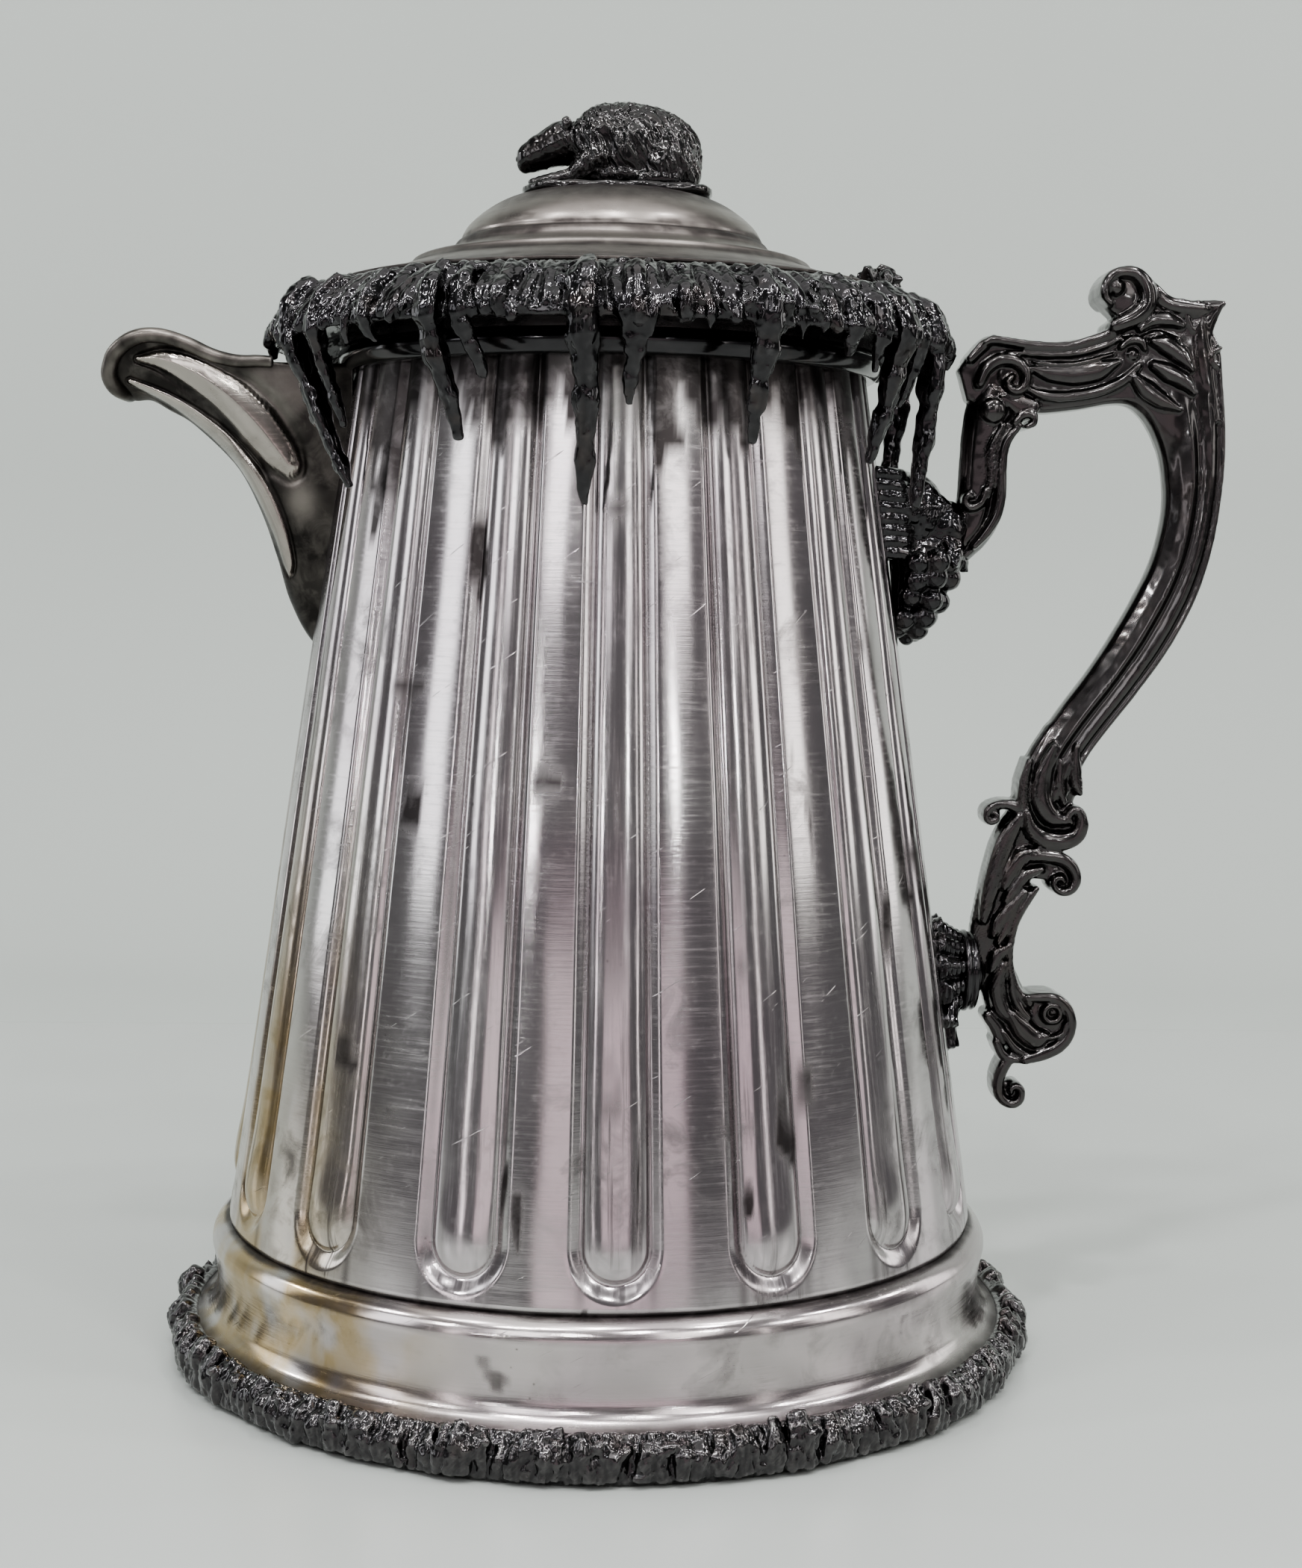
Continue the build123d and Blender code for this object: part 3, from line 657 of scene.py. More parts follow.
V, F = rev(foot_prof, circle(420), True, foot_wob)
ft = make("foot_band_visual", V, F, M_FOOT, "jug", ["foot_band"])
co = co_of(ft)
th = np.degrees(np.arctan2(co[:, 1], co[:, 0]))
n1 = fbm(co, 12.0, 25, 3)
set_attr(ft, "stain_and_shade", np.clip(np.maximum.reduce([0.95 * sm(32.9, 33.8, co[:, 2] + 0.5 * n1), 0.85 * (1 - sm(10.0, 12.6, co[:, 2] - 0.9 * n1)), 0.7 * sm(0.45, 0.66, n1)]), 0, 1))
# painted reflection: warm tint on the left side of the foot band, for warm surroundings reflected there
set_attr(ft, "painted_warm_reflection", np.clip(0.75 * (1 - sm(-135, -105, th)) * sm(-0.3, 0.3, n1 + 0.2), 0, 1))

# ------------------------------------------------------------------ ice borders
rng = np.random.default_rng(7)


def roof_point(s):
    """(r, z) along the rim border's outer face: s 0 at the inner crest, 1 at the lower edge."""
    pts = np.array([(72.4, 267.2), (75.0, 266.4), (78.8, 264.0), (82.2, 260.9), (84.7, 257.6), (85.7, 255.2), (85.6, 253.2)])
    d = np.linspace(0, 1, len(pts))
    return np.interp(s, d, pts[:, 0]), np.interp(s, d, pts[:, 1])


def strand(az, s0, s1, w, wander, seed, drop=0.0, proud=0.4):
    n = 12
    s = np.linspace(s0, s1, n)
    r, z = roof_point(s)
    a = np.radians(az + wander * np.sin(np.linspace(0, 2.6, n) + seed) * 1.0)
    r = r + proud
    P = np.stack([r * np.cos(a), r * np.sin(a), z], -1)
    if drop > 0:
        t = np.linspace(0, 1, 6)[1:]
        tail = np.stack([(r[-1] - 0.6 * t) * math.cos(a[-1]), (r[-1] - 0.6 * t) * math.sin(a[-1]), z[-1] - drop * t], -1)
        P = np.vstack([P, tail])
    k = np.linspace(0, 1, len(P))
    rad = w * (0.75 + 0.35 * np.sin(k * PI * 0.9 + 0.3)) * (1 - 0.45 * sm(0.7, 1.0, k))
    rad = rad * (1 + 0.12 * np.sin(k * 9 + seed * 2))
    return tube(P, rad, 8)


ICICLES = [
    # azimuth, tip azimuth, tip z, tip radius, root radius
    (-155, -146.5, 217, 74.8, 3.8), (-145.5, -144.5, 231, 77.9, 2.5), (-119.6, -117.4, 227, 76.8, 3.5), (-114.6, -111.4, 240, 80.3, 2.6),
    (-95, -95.0, 212.5, 73.2, 3.8), (-87.4, -87.8, 234.6, 78.7, 2.9), (-67, -66.4, 227.2, 76.8, 3.4), (-64.6, -64, 251, 84.0, 2.0),
    (-50.7, -50, 248, 82.5, 2.7), (-37.5, -37.6, 224.4, 76.4, 3.6), (-24, -24.2, 214.8, 81.0, 3.6), (-107.7, -107.4, 253, 84.4, 1.8), (-80, -80, 252, 84.4, 1.7),
    (-132, -131, 249, 83.0, 2.2), (-43.5, -43, 245, 82.0, 2.2), (-31.5, -32, 238, 80.0, 2.4),
    (159, 157, 219, 74.7, 3.5), (140, 140, 236, 79.3, 2.6), (122, 121, 224, 76.0, 3.4), (104, 105, 238, 79.8, 2.5),
    (92, 91, 213, 73.3, 3.6), (71, 72, 230, 77.6, 3.1), (55, 54, 242, 80.9, 2.6), (38, 39, 222, 75.8, 3.4), (21, 21.5, 215, 79.2, 3.7),
]
parts = []
base_prof = crom([(68.5, 260.7), (68.6, 266.4), (71.3, 266.6), (71.7, 267.4), (73.2, 267.6), (77.8, 264.4), (82.0, 260.6),
                  (84.6, 257.0), (85.5, 255.2), (84.8, 254.2), (83.2, 255.6), (80.6, 259.0), (76.6, 262.0), (72.0, 263.4),
                  (70.4, 260.8)], 4, True)
parts.append(rev(base_prof, circle(360)))
az = -180.0
k = 0
while az < 180.0:
    step = rng.uniform(1.7, 3.1)
    w = rng.uniform(1.05, 2.0)
    parts.append(strand(az, rng.uniform(0.0, 0.12), rng.uniform(0.62, 0.95), w, rng.uniform(-1.8, 1.8), k,
                        drop=rng.uniform(0.0, 1.6) if rng.random() < 0.8 else rng.uniform(2.0, 5.5), proud=rng.uniform(-0.6, 0.35)))
    if rng.random() < 0.5:
        s = rng.uniform(0.15, 0.7)
        r, z = roof_point(s)
        a = math.radians(az + rng.uniform(-1, 1))
        parts.append(blob(((r + 0.6) * math.cos(a), (r + 0.6) * math.sin(a), z + 0.4), rng.uniform(1.0, 1.8, 3), level=2, amp=0.35, seed=k))
    if rng.random() < 0.6:
        s0_ = rng.uniform(0.2, 0.5)
        parts.append(strand(az + step * 0.5, s0_, s0_ + rng.uniform(0.25, 0.45), rng.uniform(0.7, 1.1), rng.uniform(-2.5, 2.5), k + 7, proud=rng.uniform(0.6, 1.2)))
    az += step
    k += 1


def icicle(a0, a1, zt, rt, w, seed, r0=81.0, z0=264.6):
    n = 34
    t = np.linspace(0, 1, n)
    # over the roof, then hanging
    rr = np.interp(t, [0, 0.10, 0.22, 1.0], [r0 - 3, r0 + 2.2, 85.6, rt])
    zz = np.interp(t, [0, 0.10, 0.22, 1.0], [z0 + 1.2, z0 - 2.9, 255.4, zt + 1.0])
    a = np.radians(lerp(a0, a1, t ** 1.25)) + 0.006 * np.sin(t * 7 + seed) * sm(0.1, 0.5, t)
    P = np.stack([rr * np.cos(a), rr * np.sin(a), zz], -1)
    rad = w * np.interp(t, [0, 0.12, 0.3, 0.6, 0.9, 1.0], [0.75, 1.0, 0.92, 0.70, 0.46, 0.30])
    rad = rad * (1 + 0.10 * np.sin(t * 23 + seed * 1.7) + 0.07 * np.sin(t * 51 + seed))

    def sect(phi, i):
        tw = t[i] * 2.2 + seed
        return 1 + 0.13 * np.cos(3 * phi + tw) + 0.07 * np.cos(7 * phi - tw * 1.6)
    return tube(P, rad, 20, sect)


for i, (a0, a1, zt, rt, w) in enumerate(ICICLES):
    if zt > 250:
        parts.append(icicle(a0, a1, zt, rt, w, i, 84.0, 262.0))
    else:
        parts.append(icicle(a0, a1, zt, rt, w, i))
        b = math.radians(a0)
        for q in range(3):
            bb = b + math.radians(rng.uniform(-2.4, 2.4))
            parts.append(blob((78.0 * math.cos(bb), 78.0 * math.sin(bb), 265.4 + rng.uniform(-0.6, 0.5)), (2.0, 2.0, 1.5), level=2, amp=0.3, seed=i * 3 + q))
V, F = merge(parts)
rim = make("rim_icicle_border", V, F, M_DARK, "jug", ["rim_ice_border"])
remesh(rim, 0.5, 3, 0.5)
# notch for the hinge, clear of the lid's swing
boxV = np.array([(69.4 + 15.2 * i, -16.5 + 33 * j, 260.4 + 20 * l) for i in (0, 1) for j in (0, 1) for l in (0, 1)])
boxF = [(0, 1, 3, 2), (4, 6, 7, 5), (0, 4, 5, 1), (2, 3, 7, 6), (0, 2, 6, 4), (1, 5, 7, 3)]
boolean(rim, boxV, boxF, solver="MANIFOLD")
co, no = co_of(rim), no_of(rim)
th = np.degrees(np.arctan2(co[:, 1], co[:, 0]))
out_face = sm(-0.2, 0.5, (no[:, 0] * co[:, 0] + no[:, 1] * co[:, 1]) / np.hypot(co[:, 0], co[:, 1]) + 0.5 * no[:, 2])
Q = np.stack([th * 1.4, co[:, 2] * 0.45, np.hypot(co[:, 0], co[:, 1]) * 0.5], -1)
ridg = 1 - np.abs(fbm(Q, 1.3, 11, 3)) * 2
up_ = sm(252, 257, co[:, 2])
set_co(rim, co + no * (0.30 * ridg * out_face * (0.25 + 0.75 * up_) + 0.07 * fbm(co, 1.3, 4, 2) + (1 - up_) * 0.55 * fbm(co * [1, 1, 0.6], 2.4, 12, 2))[:, None])

# foot border
parts = []
fb = crom([(97.2, 0.05), (104.0, 0.0), (107.2, 0.1), (108.0, 2.2), (107.6, 6.0), (106.4, 9.0), (105.2, 10.6), (104.2, 10.8), (103.4, 9.4),
           (101.0, 8.4), (97.4, 8.0)], 4, True)
parts.append(rev(fb, circle(420)))
az = 0.0
k = 0
rng = np.random.default_rng(21)
while az < 360.0:
    w = rng.uniform(1.1, 2.2)
    a = math.radians(az)
    slow = float(vnoise(np.array([[az * 1.9, 0, 0]]), 9.0, 77)[0])
    top = 10.8 + rng.uniform(-1.5, 1.5) + 1.5 * slow
    rr = 108.3 + rng.uniform(-0.5, 0.6) + 0.8 * slow
    lean = math.radians(rng.uniform(-1.6, 1.6))
    n = 9
    t = np.linspace(0, 1, n)
    P = np.stack([(rr - 2.6 * sm(0.62, 1.0, t)) * np.cos(a + lean * t), (rr - 2.6 * sm(0.62, 1.0, t)) * np.sin(a + lean * t),
                  lerp(w * 0.9, top, t)], -1)
    rad = w * (0.85 + 0.3 * np.sin(t * PI + rng.uniform(-0.4, 0.4))) * (1 + 0.16 * np.sin(t * 8 + k))
    parts.append(tube(P, rad, 8))
    if rng.random() < 0.5:
        parts.append(blob(((rr + 0.4) * math.cos(a), (rr + 0.4) * math.sin(a), rng.uniform(2.2, 9.5)), rng.uniform(1.1, 2.0, 3), level=2, amp=0.35, seed=k))
    az += rng.uniform(0.85, 1.75)
    k += 1
V, F = merge(parts)
fbd = make("foot_ice_border_visual", V, F, M_ICE, "jug", ["foot_ice_border"])
remesh(fbd, 0.5, 1, 0.5)
co, no = co_of(fbd), no_of(fbd)
th = np.degrees(np.arctan2(co[:, 1], co[:, 0]))
rad_ = np.hypot(co[:, 0], co[:, 1])
of = sm(0.0, 0.6, (no[:, 0] * co[:, 0] + no[:, 1] * co[:, 1]) / rad_ + 0.4 * no[:, 2]) * sm(102, 105, rad_)
Q = np.stack([th * 1.9, co[:, 2] * 0.5, rad_ * 0.5], -1)
co = co + no * (0.42 * (1 - np.abs(fbm(Q, 1.2, 31, 3)) * 2) * of + 0.08 * fbm(co, 1.0, 4, 2) * sm(0, 1, co[:, 2]))[:, None]
co[:, 2] = np.maximum(co[:, 2], 0.0)
set_co(fbd, co)

# ------------------------------------------------------------------ neck moulding
V, F = rev(crom([(66.2, 247.8), (67.6, 248.4), (68.6, 250.0), (68.9, 251.6), (68.4, 253.2), (66.8, 254.0), (64.4, 253.8), (64.4, 248.4)], 5, True), circle(240))
make("neck_moulding_visual", V, F, M_DARK, "jug", ["neck_moulding"])

# ------------------------------------------------------------------ spout
TOP = crom([(-64.0, 249.4), (-74.0, 249.4), (-80.0, 249.5), (-86.0, 249.6), (-92.4, 249.5), (-98.8, 250.9), (-105.4, 253.8), (-112.4, 255.7), (-118.4, 255.2), (-123.4, 252.0), (-125.8, 247.4), (-125.2, 244.6)], 10)
KEEL = crom([(-64.0, 172.0), (-75.2, 180.0), (-81.2, 190.5), (-84.3, 201.0), (-88.6, 213.3), (-94.8, 224.6), (-105.3, 234.7), (-111.6, 238.4), (-116.2, 240.8), (-120.2, 240.7), (-123.2, 241.8), (-124.8, 243.6)], 10)
NS, NV = 220, 70
Tt, Kk = resample(TOP, NS), resample(KEEL, NS)
sN = np.linspace(0, 1, NS)
# half width at the top edge along the spout
Wd = np.interp(sN, [0, 0.12, 0.3, 0.55, 0.7, 0.82, 0.92, 0.97, 1.0], [17.0, 16.6, 15.8, 14.2, 12.6, 10.6, 8.0, 6.0, 3.4])
vv_ = np.linspace(0, 1, NV)
gw = (1 - vv_ ** 2.4) ** 0.62 * (1 - 0.20 * vv_)


def seg_dist(P, line, wid):
    """Signed profile value: 1 on the line, 0 at its half width."""
    best = np.full(len(P), -1e9)
    L, W_ = np.asarray(line, float), np.asarray(wid, float)
    for i in range(len(L) - 1):
        a, b = L[i], L[i + 1]
        t = np.clip(((P - a) @ (b - a)) / ((b - a) @ (b - a)), 0, 1)
        d = np.linalg.norm(P - (a + t[:, None] * (b - a)), axis=1)
        w = lerp(W_[i], W_[i + 1], t)
        best = np.maximum(best, 1 - d / w)
    return best


panel_line = crom([(-118.0, 250.3), (-112.0, 250.1), (-106.0, 248.0), (-100.0, 244.8), (-94.0, 240.6), (-88.0, 234.6), (-83.0, 228.4), (-79.8, 224.2)], 4)
panel_w = np.interp(np.linspace(0, 1, len(panel_line)), np.linspace(0, 1, 8), [0.7, 1.9, 3.0, 3.8, 4.4, 4.8, 4.2, 2.6])
bead_line = crom([(-120.5, 245.0), (-112.0, 241.4), (-105.0, 237.1), (-97.5, 231.2), (-91.0, 224.0), (-86.4, 216.3), (-82.9, 208.0), (-80.9, 200.6), (-80.5, 197.6)], 4)
bead_w = np.interp(np.linspace(0, 1, len(bead_line)), np.linspace(0, 1, 9), [0.8, 1.2, 1.6, 2.0, 2.3, 2.3, 2.0, 1.5, 0.7])


def spout_side(sign, inset=0.0):
    P = np.zeros((NS, NV, 3))
    for i in range(NS):
        T, K = Tt[i], Kk[i]
        d = K - T
        Lk = np.linalg.norm(d)
        v = vv_
        kk = inset / max(Lk, 1e-6)
        x = T[0] + d[0] * v * (1 - kk * 1.3)
        z = T[1] + d[1] * v * (1 - kk * 1.3)
        w = max(Wd[i] - inset, 0.6)
        P[i, :, 0] = x
        P[i, :, 1] = sign * w * gw
        P[i, :, 2] = z
    return P


out_r = spout_side(-1)
sh = out_r.reshape(-1, 3)
xz = sh[:, [0, 2]]
pv = seg_dist(xz, panel_line, panel_w)
bv = seg_dist(xz, bead_line, bead_w)
# raised teardrop with a soft edge, hollow round it, and the round lower bead
hol = np.exp(-((pv + 0.35) / 0.35) ** 2)
raise_ = 1.9 * np.clip(pv, 0, 1) ** 0.6 + 0.35 * np.exp(-((pv - 0.06) / 0.09) ** 2) - 1.0 * hol * (pv < 0.02) + 1.5 * np.sqrt(np.clip(bv, 0, 1)) - 0.5 * np.exp(-((bv + 0.3) / 0.25) ** 2)
raise_ = raise_ * sm(0.02, 0.1, np.tile(vv_, NS)) * (1 - sm(0.93, 1.0, np.tile(vv_, NS)))
sh[:, 1] -= raise_
out_r = sh.reshape(NS, NV, 3)
out_l = out_r * [1, -1, 1]
in_r, in_l = spout_side(-1, 1.4), spout_side(1, 1.4)
ring = np.concatenate([out_r, out_l[:, ::-1][:, 1:], in_l, in_r[:, ::-1][:, 1:]], 1)
nk = ring.shape[1]
V = ring.reshape(-1, 3)
F = [tuple(f) for f in grid_faces(NS, nk, False, True)]
c0, c1 = len(V), len(V) + 1
V = np.vstack([V, ring[0].mean(0), ring[-1].mean(0)])
for j in range(nk):
    j2 = (j + 1) % nk
    F.append((j, c0, j2))
    F.append(((NS - 1) * nk + j, (NS - 1) * nk + j2, c1))
spout = make("spout_shell", V, F, M_SPOUT, "jug", ["spout_half_right", "spout_half_left"])
# cut away what is inside the jug's wall
zz_ = np.linspace(150, 262, 12)
envV, envF = rev(np.vstack([[(0, 150)], np.stack([r_out(zz_) - 0.9, zz_], -1), [(0, 262)]]), circle(160), False)
boolean(spout, envV, envF)

co = co_of(spout)
xz = co[:, [0, 2]]
pv, bv = seg_dist(xz, panel_line, panel_w), seg_dist(xz, bead_line, bead_w)
n1 = fbm(co, 6.0, 33, 3)
st_ = 0.93 - 0.93 * np.maximum(sm(-0.12, 0.16, pv), sm(-0.1, 0.3, bv))
st_ = np.maximum(st_, 0.6 * np.exp(-((pv - 0.0) / 0.07) ** 2))
# a lighter triangle above the panel and a worn patch under its end
tri = sm(-94, -86, co[:, 0]) * sm(232, 238, co[:, 2] + (co[:, 0] + 80) * -0.9) * sm(249, 247, co[:, 2])
st_ = st_ * (1 - 0.3 * tri) * (1 - 0.55 * np.exp(-((co[:, 0] + 77) / 3.6) ** 2 - ((co[:, 2] - 216) / 4.6) ** 2))
set_attr(spout, "stain_and_shade", np.clip(st_ + 0.12 * n1 * (st_ > 0.2), 0, 0.99))

# rolled edge
edge = [(-84.0, 15.4, 249.6)]
for i in range(18, NS, 7):
    if Tt[i, 0] < -86.0 and sN[i] < 0.93:
        edge.append((Tt[i, 0], Wd[i] + 0.2, Tt[i, 1] + 0.2))
edge += [(-125.7, 7.0, 246.6), (-124.6, 5.2, 243.6), (-122.6, 2.6, 242.3), (-121.6, 0.0, 242.0)]
edge = np.array(edge)
full = np.vstack([edge, edge[:-1][::-1] * [1, -1, 1]])
path = resample(crom(full, 6), 150)
kk = np.abs(np.linspace(-1, 1, 150))
rz = np.interp(kk, [0, 0.06, 0.25, 0.6, 1], [1.6, 2.0, 2.1, 1.8, 1.5])
V, F = tube(path, np.stack([rz * 1.0, rz * 0.9], -1), 16, up=(0, 0, 1))
roll = make("spout_edge_roll", V, F, M_SPOUT, "jug", ["spout_edge_bead"])
co = co_of(roll)
set_attr(roll, "stain_and_shade", np.clip(0.74 + 0.4 * fbm(co, 5.0, 35, 3) - 0.35 * sm(-104, -112, co[:, 0]) * sm(254, 257, co[:, 2]), 0, 0.95))

# ------------------------------------------------------------------ lid
lid_o = crom([(71.0, 268.0), (71.3, 268.7), (70.6, 269.3), (65.0, 270.4), (59.0, 272.0), (54.6, 273.6), (52.2, 274.4), (50.9, 275.4), (50.2, 276.4),
              (48.4, 276.9), (45.6, 277.2), (42.6, 277.9), (40.6, 279.2), (39.9, 280.4), (39.2, 281.3), (38.6, 281.5), (38.2, 282.0), (37.9, 283.0), (36.4, 285.4), (33.2, 288.3),
              (29.2, 290.9), (25.0, 292.6), (20.0, 293.7), (12.0, 294.1)], 5)
lid_i = [(12.0, 292.8), (20.0, 292.4), (25.0, 291.3), (29.0, 289.5), (33.0, 286.6), (36.0, 283.4), (38.0, 279.9), (41.0, 277.0), (46.0, 275.7), (50.0, 274.4),
         (54.0, 272.2), (59.0, 270.6), (65.0, 269.1), (69.6, 268.1)]
prof = np.vstack([[(0.0, 268.0)], lid_o]) if False else np.vstack([lid_o, lid_i])
prof = np.vstack([prof[len(lid_o):], lid_o])


def lid_wob(T, R, Z):
    P = np.stack([R * np.cos(T), R * np.sin(T), Z], -1).reshape(-1, 3)
    return R, Z + (0.10 * fbm(P, 22.0, 15, 2)).reshape(R.shape)


# closed profile through the axis: outer dome from the pole down to the edge, then back underneath
op = np.vstack([[(0.0, 294.15)], lid_o[::-1], [(69.8, 267.95)], lid_i[::-1], [(0.0, 292.8)]])
V, F = rev(op, circle(300), False, lid_wob)
ld = make("lid_dome", V, F, M_LID, "lid", ["lid_shell"])
co = co_of(ld)
rl = np.hypot(co[:, 0], co[:, 1])
n1 = fbm(co * [1, 1, 1.5], 11.0, 36, 3)
band = np.interp(rl + 1.1 * n1, [0, 20, 27, 31.5, 34, 37.6, 38.3, 39.8, 40.6, 42, 45.5, 48.4, 50.0, 51.6, 53.0, 56.5, 58.5, 61, 64, 71],
                 [0.95, 0.93, 0.88, 0.7, 0.25, 0.2, 0.9, 0.93, 0.6, 0.45, 0.5, 0.88, 0.45, 0.9, 0.7, 0.5, 0.6, 0.78, 0.8, 0.88])
set_attr(ld, "stain_and_shade", np.clip(band + 0.16 * fbm(co, 4.0, 37, 3), 0, 0.93))

# ------------------------------------------------------------------ finial
parts = []
pl = crom([(-22.0, -6.0), (-18.0, -11.6), (-8.0, -13.0), (4.0, -13.4), (15.0, -13.0), (23.6, -9.6), (25.2, 0.0), (23.6, 9.6), (15.0, 13.0), (4.0, 13.4),
           (-8.0, 13.0), (-18.0, 11.6), (-22.0, 6.0), (-22.8, 0.0)], 8, True)
n = len(pl)
ringz = [(0.0, 0.995), (293.6, 0.97), (294.2, 1.0), (295.2, 1.0), (296.0, 0.96)]
rows = []
for z, s in ringz[1:]:
    rows.append(np.stack([pl[:, 0] * s, pl[:, 1] * s, np.full(n, z)], -1))
Vp = np.stack(rows, 1).reshape(-1, 3)
Fp = [tuple(f) for f in grid_faces(n, 4, True, False)]
a, b = len(Vp), len(Vp) + 1
Vp = np.vstack([Vp, [1.2, 0, 293.6], [1.2, 0, 296.4]])
for i in range(n):
    j = (i + 1) % n
    Fp.append((i * 4, a, j * 4)[::-1])
    Fp.append((i * 4 + 3, j * 4 + 3, b)[::-1])
plate = make("finial_plate_visual", Vp, Fp, M_BEAR, "lid", ["finial_plate"])
remesh(plate, 0.4, 1)
co, no = co_of(plate), no_of(plate)
set_co(plate, co + no * (0.35 * fbm(co, 2.6, 41, 3) * sm(294.3, 295.0, co[:, 2]))[:, None])

bear = [
    blob((6.5, 0, 305.0), (15.4, 10.4, 11.8)), blob((-1.5, 0, 306.8), (9.0, 9.4, 10.2)), blob((13.6, 0, 303.6), (9.0, 10.2, 10.6)),
    blob((3.0, 0, 309.4), (10.5, 8.4, 8.0)), blob((-6.6, 0, 307.4), (5.6, 6.6, 6.2)),
    blob((-13.0, 0, 306.9), (6.2, 5.3, 5.5), rotm("Y", -26)), blob((-18.0, 0, 304.8), (4.7, 4.3, 4.5)), cap((-13, 0, 307.2), (-20.6, 0, 303.5), 5.5, 3.9),
    blob((-22.0, 0, 302.0), (2.3, 2.3, 2.7)), blob((-11.8, 4.4, 311.2), (1.5, 1.2, 2.0), level=2), blob((-11.8, -4.4, 311.2), (1.5, 1.2, 2.0), level=2),
    blob((5.0, 0, 298.4), (15.4, 9.4, 4.4)),
]
for s in (-1, 1):
    bear += [
        cap((-3.6, s * 5.0, 303), (-8.4, s * 6.0, 299.2), 4.8, 2.9), cap((-8.0, s * 6.0, 298.4), (-18.4, s * 5.4, 296.4), 2.3, 1.5),
        blob((-19.2, s * 5.3, 296.2), (2.2, 2.3, 1.2)),
        blob((13.5, s * 6.6, 301.0), (7.4, 4.6, 7.2)), cap((15, s * 8.2, 297.4), (7.6, s * 9.0, 297.0), 2.8, 2.1),
        blob((18.6, s * 5.4, 298.6), (3.4, 4.2, 4.2)),
    ]
V, F = merge(bear)
bob = make("finial_bear_visual", V, F, M_BEAR, "lid", ["finial_bear"])
remesh(bob, 0.34, 6, 0.6)
co, no = co_of(bob), no_of(bob)
# long locks of fur: down and back on the body, back along the head
dirb = np.array([0.42, 0.0, -0.91])
e1 = np.array([0.91, 0.0, 0.42])
wrp = np.stack([vnoise(co, 7.0, 3), vnoise(co, 7.0, 4), vnoise(co, 7.0, 5)], -1) * 1.1
cw = co + wrp
aq, bq, cq = cw @ dirb, cw @ e1, cw[:, 1]


def locks(s1, s2, seed):
    return vnoise(np.stack([bq / s1, cq / s1, aq / s2], -1), 1.0, seed)


fur = 0.42 * (1 - 2.0 * np.abs(locks(1.15, 6.5, 51))) + 0.26 * locks(0.62, 4.0, 52) + 0.12 * locks(0.4, 2.6, 53)
furm = 0.22 + 0.78 * sm(-15.0, -7.0, co[:, 0]) * sm(296.5, 299.5, co[:, 2])
co2 = co + no * (0.85 * fur * furm)[:, None]
co2[:, 2] = np.where(co[:, 2] < 296.2, np.maximum(co2[:, 2], 295.2), co2[:, 2])
set_co(bob, co2)
# eyes and nose
parts = [blob((-17.0, s * 3.9, 306.9), (0.6, 0.5, 0.6), level=2) for s in (-1, 1)] + [blob((-23.9, 0, 302.9), (0.8, 1.2, 0.9), level=2)]
V, F = merge(parts)
make("finial_bear_eyes_nose", V, F, M_DARK, "lid")

# ------------------------------------------------------------------ thumbpiece: small leaf cluster
def leaf_sheet(base, tip, width, normal, cup=0.25, thick=0.9, lobes=5, depth=0.28, nl=30, nw=15, vein=0.35, curl=0.0):
    """Closed lobed leaf from base to tip."""
    base, tip, normal = (np.asarray(v, float) for v in (base, tip, normal))
    L = np.linalg.norm(tip - base)
    u = (tip - base) / L
    w = np.cross(normal, u)
    w /= np.linalg.norm(w)
    nn = np.cross(u, w)
    s = np.linspace(0, 1, nl)
    q = np.linspace(-1, 1, nw)
    hw = width * np.sin(np.clip(s, 0, 1) ** 0.75 * PI) ** 0.75 * (1 - depth + depth * np.abs(np.sin(s * PI * lobes / 1.0)) ** 0.7) + 0.15
    top, bot = [], []
    for i in range(nl):
        x = base + u * (L * s[i])
        yy = q * hw[i]
        h = -cup * width * q ** 2 * (0.4 + 0.6 * math.sin(PI * s[i])) + curl * (s[i] ** 2) * L
        ridge = vein * np.exp(-(q / 0.12) ** 2) + 0.5 * vein * np.abs(np.sin((s[i] * 7 - np.abs(q) * 1.6) * PI)) ** 6
        th_ = thick * (1 - 0.75 * np.abs(q) ** 3)
        top.append(x + np.outer(yy, w) + np.outer(h + th_ * 0.5 + ridge, nn))
        bot.append(x + np.outer(yy, w) + np.outer(h - th_ * 0.5, nn))
    A = np.concatenate([np.array(top), np.array(bot)[:, ::-1]], 1)
    k = A.shape[1]
    V = A.reshape(-1, 3)
    F = [tuple(f) for f in grid_faces(nl, k, False, True)]
    a, b = len(V), len(V) + 1
    V = np.vstack([V, A[0].mean(0), A[-1].mean(0)])
    for j in range(k):
        j2 = (j + 1) % k
        F.append((j, a, j2))
        F.append(((nl - 1) * k + j, (nl - 1) * k + j2, b))
    return V, F


